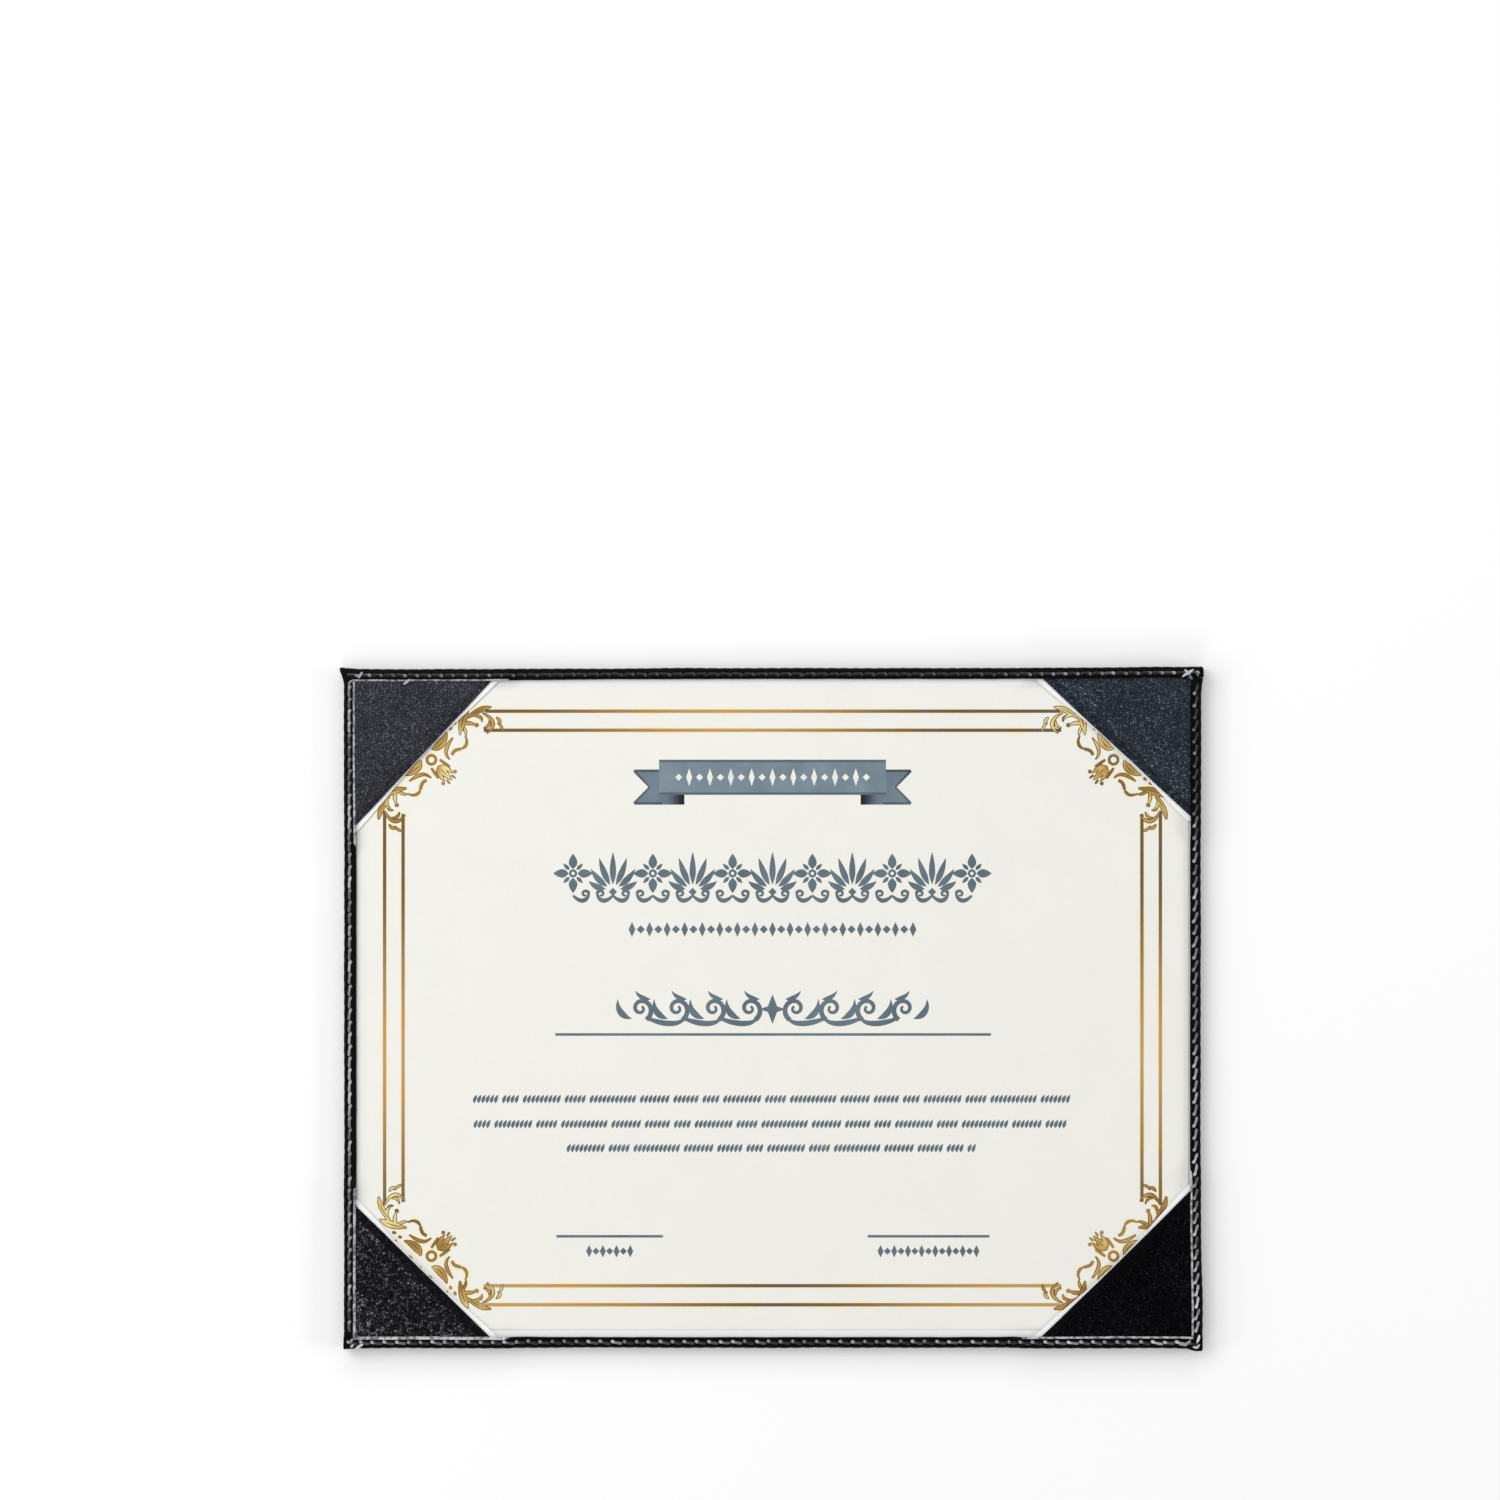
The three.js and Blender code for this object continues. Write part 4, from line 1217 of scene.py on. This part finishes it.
class StageSettings(bpy.types.PropertyGroup):
    lens: bpy.props.FloatProperty(name="Lens", description="Focal length in mm", default=85.0, min=20.0)
    floor: colour_setting("Floor", "Paper that the holder lies on", "#f8f8f8")
    glow: bpy.props.FloatProperty(name="Floor glow", description="What the floor adds to reach plain white",
                                  default=0.08, min=0.0)
    world: bpy.props.FloatProperty(name="Room light", description="Even light from the room", default=0.3,
                                   min=0.0)


# Operators, one for each piece or group of like pieces.

class SetStage(bpy.types.Operator):
    """Make the floor, the lamps and the camera"""
    bl_idname = "certificate_holder.set_stage"
    bl_label = "Set Stage"

    def execute(self, context):
        looks = context.scene.holder_stage
        self.make_camera(context.scene, looks.lens)
        self.make_floor(looks)
        self.make_world(context.scene, looks.world)
        for softbox in SOFTBOXES:
            self.make_softbox(*softbox)
        context.scene.view_settings.view_transform = "Standard"
        return {"FINISHED"}

    def make_camera(self, scene, lens):
        data = bpy.data.cameras.new("camera")
        data.lens, data.sensor_width = lens, SENSOR_WIDTH
        data.clip_start, data.clip_end = 0.05, 50.0
        scene.camera = link_object("camera", data)
        scene.camera.location = (*VIEW_CENTRE, SHEET_TOP + VIEW_WIDTH * lens / SENSOR_WIDTH)

    def make_floor(self, looks):
        mesh = bpy.data.meshes.new("floor")
        mesh.from_pydata([(x * FLOOR_HALF, y * FLOOR_HALF, -FLOOR_DROP)
                          for x, y in ((-1, -1), (1, -1), (1, 1), (-1, 1))], [], [(0, 1, 2, 3)])
        mesh.materials.append(floor_paper(looks.floor, looks.glow))
        link_object("floor", mesh)

    def make_world(self, scene, strength):
        scene.world = bpy.data.worlds.new("room")
        scene.world.use_nodes = True
        scene.world.node_tree.nodes.clear()
        add = partial(add_node, scene.world.node_tree)
        seen = add("ShaderNodeLightPath").outputs["Is Camera Ray"]
        level = add("ShaderNodeMapRange", {"Value": seen, "To Min": strength, "To Max": 1.0})
        light = add("ShaderNodeBackground", {"Color": srgb("#ffffff"), "Strength": level})
        add("ShaderNodeOutputWorld", {"Surface": light})

    def make_softbox(self, name, azimuth, off_zenith, distance, width, height, power):
        azimuth, off_zenith = math.radians(azimuth), math.radians(off_zenith)
        data = bpy.data.lights.new(name, "AREA")
        data.shape, data.size, data.size_y, data.energy = "RECTANGLE", width, height, power
        lamp = link_object(name, data)
        lamp.location = distance * Vector((math.sin(azimuth) * math.sin(off_zenith),
                                           math.cos(azimuth) * math.sin(off_zenith), math.cos(off_zenith)))
        lamp.rotation_mode = "QUATERNION"
        lamp.rotation_quaternion = (-lamp.location).to_track_quat("-Z", "Y")
        lamp.visible_camera = False


class MakeRim(bpy.types.Operator):
    """Make the four folded strips of the rim"""
    bl_idname = "certificate_holder.make_rim"
    bl_label = "Make Rim Binding"

    def execute(self, context):
        looks = context.scene.holder_rim
        black = leatherette("rim_leatherette_fine_grain", looks.crest, looks.valley, looks.grain, looks.depth,
                            specular=0.07)
        materials = [black, cut_backing(looks.cut_pale, looks.cut_dark)]
        for side in SIDES:
            strip = make_rim_strip(side, looks, context.scene.holder_seam.pitch, materials)
            ride(strip, "holder", "binding_leatherette", f"binding_{side.name}")
        return {"FINISHED"}


class MakeSeams(bpy.types.Operator):
    """Make the stitches of the front and the back of each seam"""
    bl_idname = "certificate_holder.make_seams"
    bl_label = "Make Seams"

    def execute(self, context):
        looks = context.scene.holder_seam
        thread = sewing_thread("seam_thread_bonded_polyester", looks.dark, looks.pale)
        tree = stitch_row_nodes()
        needle = make_stitch(looks.length, looks.head, looks.width, looks.bow, looks.flatness, NEEDLE_SINK)
        bobbin = make_stitch(BOBBIN_LENGTH * looks.pitch, looks.width, looks.width, 0.0,
                             BOBBIN_FLATNESS * looks.flatness, BOBBIN_SINK)
        for side in SIDES:
            # kind, pattern, slant and its spread in degrees, and height and brightness along the seam
            for kind, pattern, slant, spread, height_at, tone_at in (
                    ("needle", needle, side.slant, NEEDLE_SPREAD,
                     lambda along: RIM_TOP + lip_lift(side, along) + NEEDLE_LIE,
                     lambda share: side_tone(side, share)),
                    ("bobbin", bobbin, 0.0, BOBBIN_SPREAD,
                     lambda along: BOBBIN_LIE, lambda share: BOBBIN_TONE)):
                values = {"Pattern": pattern, "Stitches": stitch_count(side, looks.pitch),
                          "Slant": math.radians(slant), "Slant Spread": math.radians(spread),
                          "Length Spread": LENGTH_SPREAD, "Tone Spread": TONE_SPREAD,
                          "Seed": looks.seed + SIDES.index(side), "Thread": thread}
                line = seam_line(side, looks.pitch, height_at, tone_at)
                ride(mesh_from_nodes(f"{kind}_stitches_{side.name}", line, tree, values), "holder",
                     "seam_thread", f"{kind}_thread_{side.name}")
        for pattern in (needle, bobbin):
            bpy.data.objects.remove(pattern)
        for name, runs in LOCK_STITCHES.items():
            self.make_lock_stitches(name, runs, looks, thread)
        return {"FINISHED"}

    def make_lock_stitches(self, name, runs, looks, thread):
        """The crossed and hooked stitches that lock the seams at a corner."""
        points, faces, plies, tones = [], [], [], []
        for level, (tone, *run) in enumerate(runs):
            path = self.run_path(run, *CORNER_SIGNS[name], level)
            radii = [looks.width * (LOCK_THIN + LOCK_SWELL * math.sin(math.pi * i / (len(path) - 1)) ** 0.5)
                     for i in range(len(path))]
            rings, run_plies = thread_rings(path, radii, LOCK_TWIST, LOCK_SIDES)
            run_points, run_faces = loft(rings)
            faces += [tuple(len(points) + i for i in face) for face in run_faces]
            points += run_points
            plies += run_plies
            tones += [tone] * len(run_points)
        tack = mesh_object(f"lock_stitch_{name}", points, faces, [thread], sharp_angle=math.pi)
        for attribute, values in (("ply", plies), ("tone", tones), ("tail", [0.0] * len(plies))):
            store_values(tack.data, attribute, values)
        ride(tack, "holder", "seam_thread", f"corner_tack_{name}")

    def run_path(self, run, sign_x, sign_y, level):
        """A bowed path over the rim through a run's points, with its ends pulled down."""
        places = [Vector((sign_x * (HALF_LENGTH - x * MM), sign_y * (HALF_WIDTH - y * MM), 0))
                  for x, y in run]
        path = [first.lerp(second, i / LOCK_STEPS)
                for first, second in zip(places, places[1:]) for i in range(LOCK_STEPS)]
        path.append(places[-1])
        top = RIM_TOP + POCKET_LIFT + LOCK_RISE + LOCK_OVER * level
        for i, place in enumerate(path):
            place.z = top - LOCK_DIVE * (2 * i / (len(path) - 1) - 1) ** 4
        return path


class MakePockets(bpy.types.Operator):
    """Make the four corner pockets and their white linings"""
    bl_idname = "certificate_holder.make_pockets"
    bl_label = "Make Corner Pockets"

    def execute(self, context):
        looks = context.scene.holder_pockets
        white = paper("pocket_lining_bleached_paper", looks.lining, looks.lining_clouds, fibre=0.7 * MM)
        for seed, (name, specular, uneven, pressed, back) in enumerate(POCKET_LOOKS, 1):
            # Each pocket's leather is painted with its own sheen and shade, as the light falls on its corner.
            leather = leatherette(
                f"pocket_leatherette_pebble_grain_{name}", getattr(looks, name),
                getattr(looks, f"{name}_crease"), looks.grain, looks.depth, specular, uneven)

            def leather_bow(share, place):
                return EDGE_SWAY * wave(place, EDGE_WAVE, 2.1 * seed) - back

            def lining_bow(share, place):
                hollow = looks.hollow * (1 - HOLLOW_DEPTH * math.sin(math.pi * share) ** 2)
                return hollow - back if past_rim(place) > 0 else 0.0

            flap = make_flap(f"pocket_leather_{name}", f"pocket_{name}", POCKET_COLUMNS,
                             pocket_section(looks, 7.3 * seed), leather_bow, [leather])
            # The hem's painted shade, as strong as set for this pocket.
            mark_hem(flap, f"pocket_{name}", pressed)
            ride(flap, "holder", "pocket_leatherette", f"pocket_{name}")
            lining = make_flap(f"pocket_white_lining_{name}", f"pocket_lining_{name}", LINING_COLUMNS,
                               lining_section(looks), lining_bow, [white])
            ride(lining, "holder", "pocket_backing", f"pocket_lining_{name}")
        return {"FINISHED"}


class FinishPanel(bpy.types.Operator):
    """Finish the CAD pieces of the panel: cover, board, lining and welts"""
    bl_idname = "certificate_holder.finish_panel"
    bl_label = "Finish Panel"

    def execute(self, context):
        looks = context.scene.holder_panel
        black = leatherette("cover_leatherette_pebble_grain", looks.cover, looks.cover_crease, looks.grain,
                            looks.depth, specular=0.2)
        dress("front_lining", paper("front_lining_white_paper", looks.lining, looks.lining_clouds,
                                    fibre=0.8 * MM))
        dress("stiffener_board", paper("stiffener_greyboard", looks.board, looks.board_clouds,
                                       fibre=0.5 * MM, roughness=0.9))
        for node in ("back_cover", *[f"welt_{side.name}" for side in SIDES]):
            dress(node, black)
        return {"FINISHED"}


class PrintCertificate(bpy.types.Operator):
    """Finish the certificate's paper and lay its print on it"""
    bl_idname = "certificate_holder.print_certificate"
    bl_label = "Print Certificate"

    def execute(self, context):
        looks = context.scene.holder_print
        dress("certificate_sheet", paper("certificate_cream_paper", looks.paper, looks.paper_clouds,
                                         fibre=0.9 * MM))
        self.print_frame(looks)
        self.print_ribbon(looks)
        slate = PrintPlate()
        for draw in (title_frieze, name_scroll, small_rows):
            draw(slate)
        slate.make("print_slate_ornaments", flat_ink("print_slate_ink", looks.slate, looks.slate_thin))
        return {"FINISHED"}

    def print_frame(self, looks):
        """The gold rules and the gilded scrolls with their brown lines."""
        dark, bright = looks.rule_dark, looks.rule_bright
        top, bottom, sides, tint, lines, brown, gold = (PrintPlate() for i in range(7))
        frame_rules(tint, top, bottom, sides, looks.rule_width / MM)
        corner_ornaments(tint, lines, brown, gold)
        # plate, its place, the tones near and far, the run's axis, and its centre and reach in mm
        for plate, place, near, far, axis, centre, reach in (
                (top, "top", bright, dark, "X", -14, 78), (sides, "sides", bright, dark, "Y", -15, 62),
                (bottom, "bottom", dark, bright, "X", 2, 84)):
            plate.make(f"print_rules_{place}", graded_ink(f"print_rule_ink_{place}", near, far, axis,
                                                          centre * MM, 0.0, reach * MM))
        lines.make("print_corner_scroll_stems", metallic_ink(
            "print_gold_stem_ink", looks.gold_dark, looks.gold, looks.gold_pale, run=40 * MM))
        tint.make("print_corner_scroll_tint", flat_ink("print_pale_gold_tint_ink", looks.gold_tint,
                                                       looks.paper))
        brown.make("print_corner_scroll_outlines", flat_ink("print_brown_line_ink", looks.brown,
                                                            looks.brown_thin))
        gold.make("print_corner_scroll_gold", metallic_ink(
            "print_gold_fill_ink", looks.gold_deep, looks.gold_warm, looks.gold_light, run=9 * MM))

    def print_ribbon(self, looks):
        """The blank ribbon: its tails, the folds behind and the body in front, with a row of beads
        where a name would stand."""
        left, low, right, high = RIBBON_BODY
        tail_left, tail_low, tail_right, tail_high = RIBBON_TAIL
        tails, outlines, folds, bodies, edges, beads = (PrintPlate() for i in range(6))
        tail = [complex(tail_left, tail_low), complex(tail_right, tail_low), complex(tail_right, tail_high),
                complex(tail_left, tail_high), complex(tail_left + TAIL_NOTCH, (tail_low + tail_high) / 2)]
        fold = [complex(left + 1, low), complex(tail_right, low), complex(tail_right, tail_low),
                complex(left + 1, tail_low)]
        body = [complex(left, low), complex(right, low), complex(right, high), complex(left, high)]
        inset = 0.5j * EDGE_LINE
        lower, upper, notch = tail[0] + inset, tail[3] - inset, tail[4]
        for sign in (1, -1):
            tails.add_shape(mirrored(tail, sign))
            folds.add_shape(mirrored(fold, sign), 4)
            for level, path in enumerate(((lower, tail[1] + inset), (upper, tail[2] - inset),
                                          (upper, notch, lower)), 1):
                outlines.add_stroke(mirrored(path, sign), [EDGE_LINE] * len(path), level)
        bodies.add_shape(body, 8)
        for height in (low * 1j + inset, high * 1j - inset):
            edges.add_line(left + height, right + height, EDGE_LINE, 10)
        beads.add_beads(*RIBBON_BEADS, 12)
        tails.make("print_ribbon_tails", flat_ink("print_ribbon_tail_ink", looks.tail, looks.ribbon))
        folds.make("print_ribbon_folds", graded_ink(
            "print_ribbon_fold_ink", looks.ribbon_fold, looks.tail, "X", 0.0,
            *[(out - tail_right) * MM for out in FOLD_SHADOW], roughness=0.6, specular=0.3))
        for plate, piece, ink, full, thin in (
                (bodies, "ribbon_body", "ribbon_ink", looks.ribbon, looks.ribbon_pale),
                (edges, "ribbon_edges", "ribbon_edge_ink", looks.ribbon_edge, looks.slate),
                (outlines, "ribbon_tail_outlines", "ribbon_outline_ink", looks.outline, looks.ribbon_edge),
                (beads, "ribbon_beads", "reversed_out_beads", looks.paper, looks.bead)):
            plate.make(f"print_{piece}", flat_ink(f"print_{ink}", full, thin))


class HolderPanel(bpy.types.Panel):
    """The holder's operators and settings"""
    bl_idname = "VIEW3D_PT_certificate_holder"
    bl_label = "Certificate Holder"
    bl_space_type = "VIEW_3D"
    bl_region_type = "UI"
    bl_category = "Certificate Holder"

    def draw(self, context):
        for operator in OPERATORS:
            self.layout.operator(operator.bl_idname)
        for name, settings in SETTINGS.items():
            box = self.layout.box()
            for key in settings.__annotations__:
                box.prop(getattr(context.scene, name), key)


OPERATORS = (SetStage, MakeRim, MakeSeams, MakePockets, FinishPanel, PrintCertificate)
SETTINGS = {"holder_rim": RimSettings, "holder_seam": SeamSettings, "holder_pockets": PocketSettings,
            "holder_panel": PanelSettings, "holder_print": PrintSettings, "holder_stage": StageSettings}


def register():
    for listed in (*SETTINGS.values(), *OPERATORS, HolderPanel):
        bpy.utils.register_class(listed)
    for name, settings in SETTINGS.items():
        setattr(bpy.types.Scene, name, bpy.props.PointerProperty(type=settings))


def unregister():
    for name in SETTINGS:
        delattr(bpy.types.Scene, name)
    for listed in reversed((*SETTINGS.values(), *OPERATORS, HolderPanel)):
        bpy.utils.unregister_class(listed)


def main():
    register()
    bpy.ops.certificate_holder.set_stage()
    bpy.ops.certificate_holder.make_rim()
    bpy.ops.certificate_holder.make_seams()
    bpy.ops.certificate_holder.make_pockets()
    bpy.ops.certificate_holder.finish_panel()
    bpy.ops.certificate_holder.print_certificate()


if __name__ == "__main__":
    main()
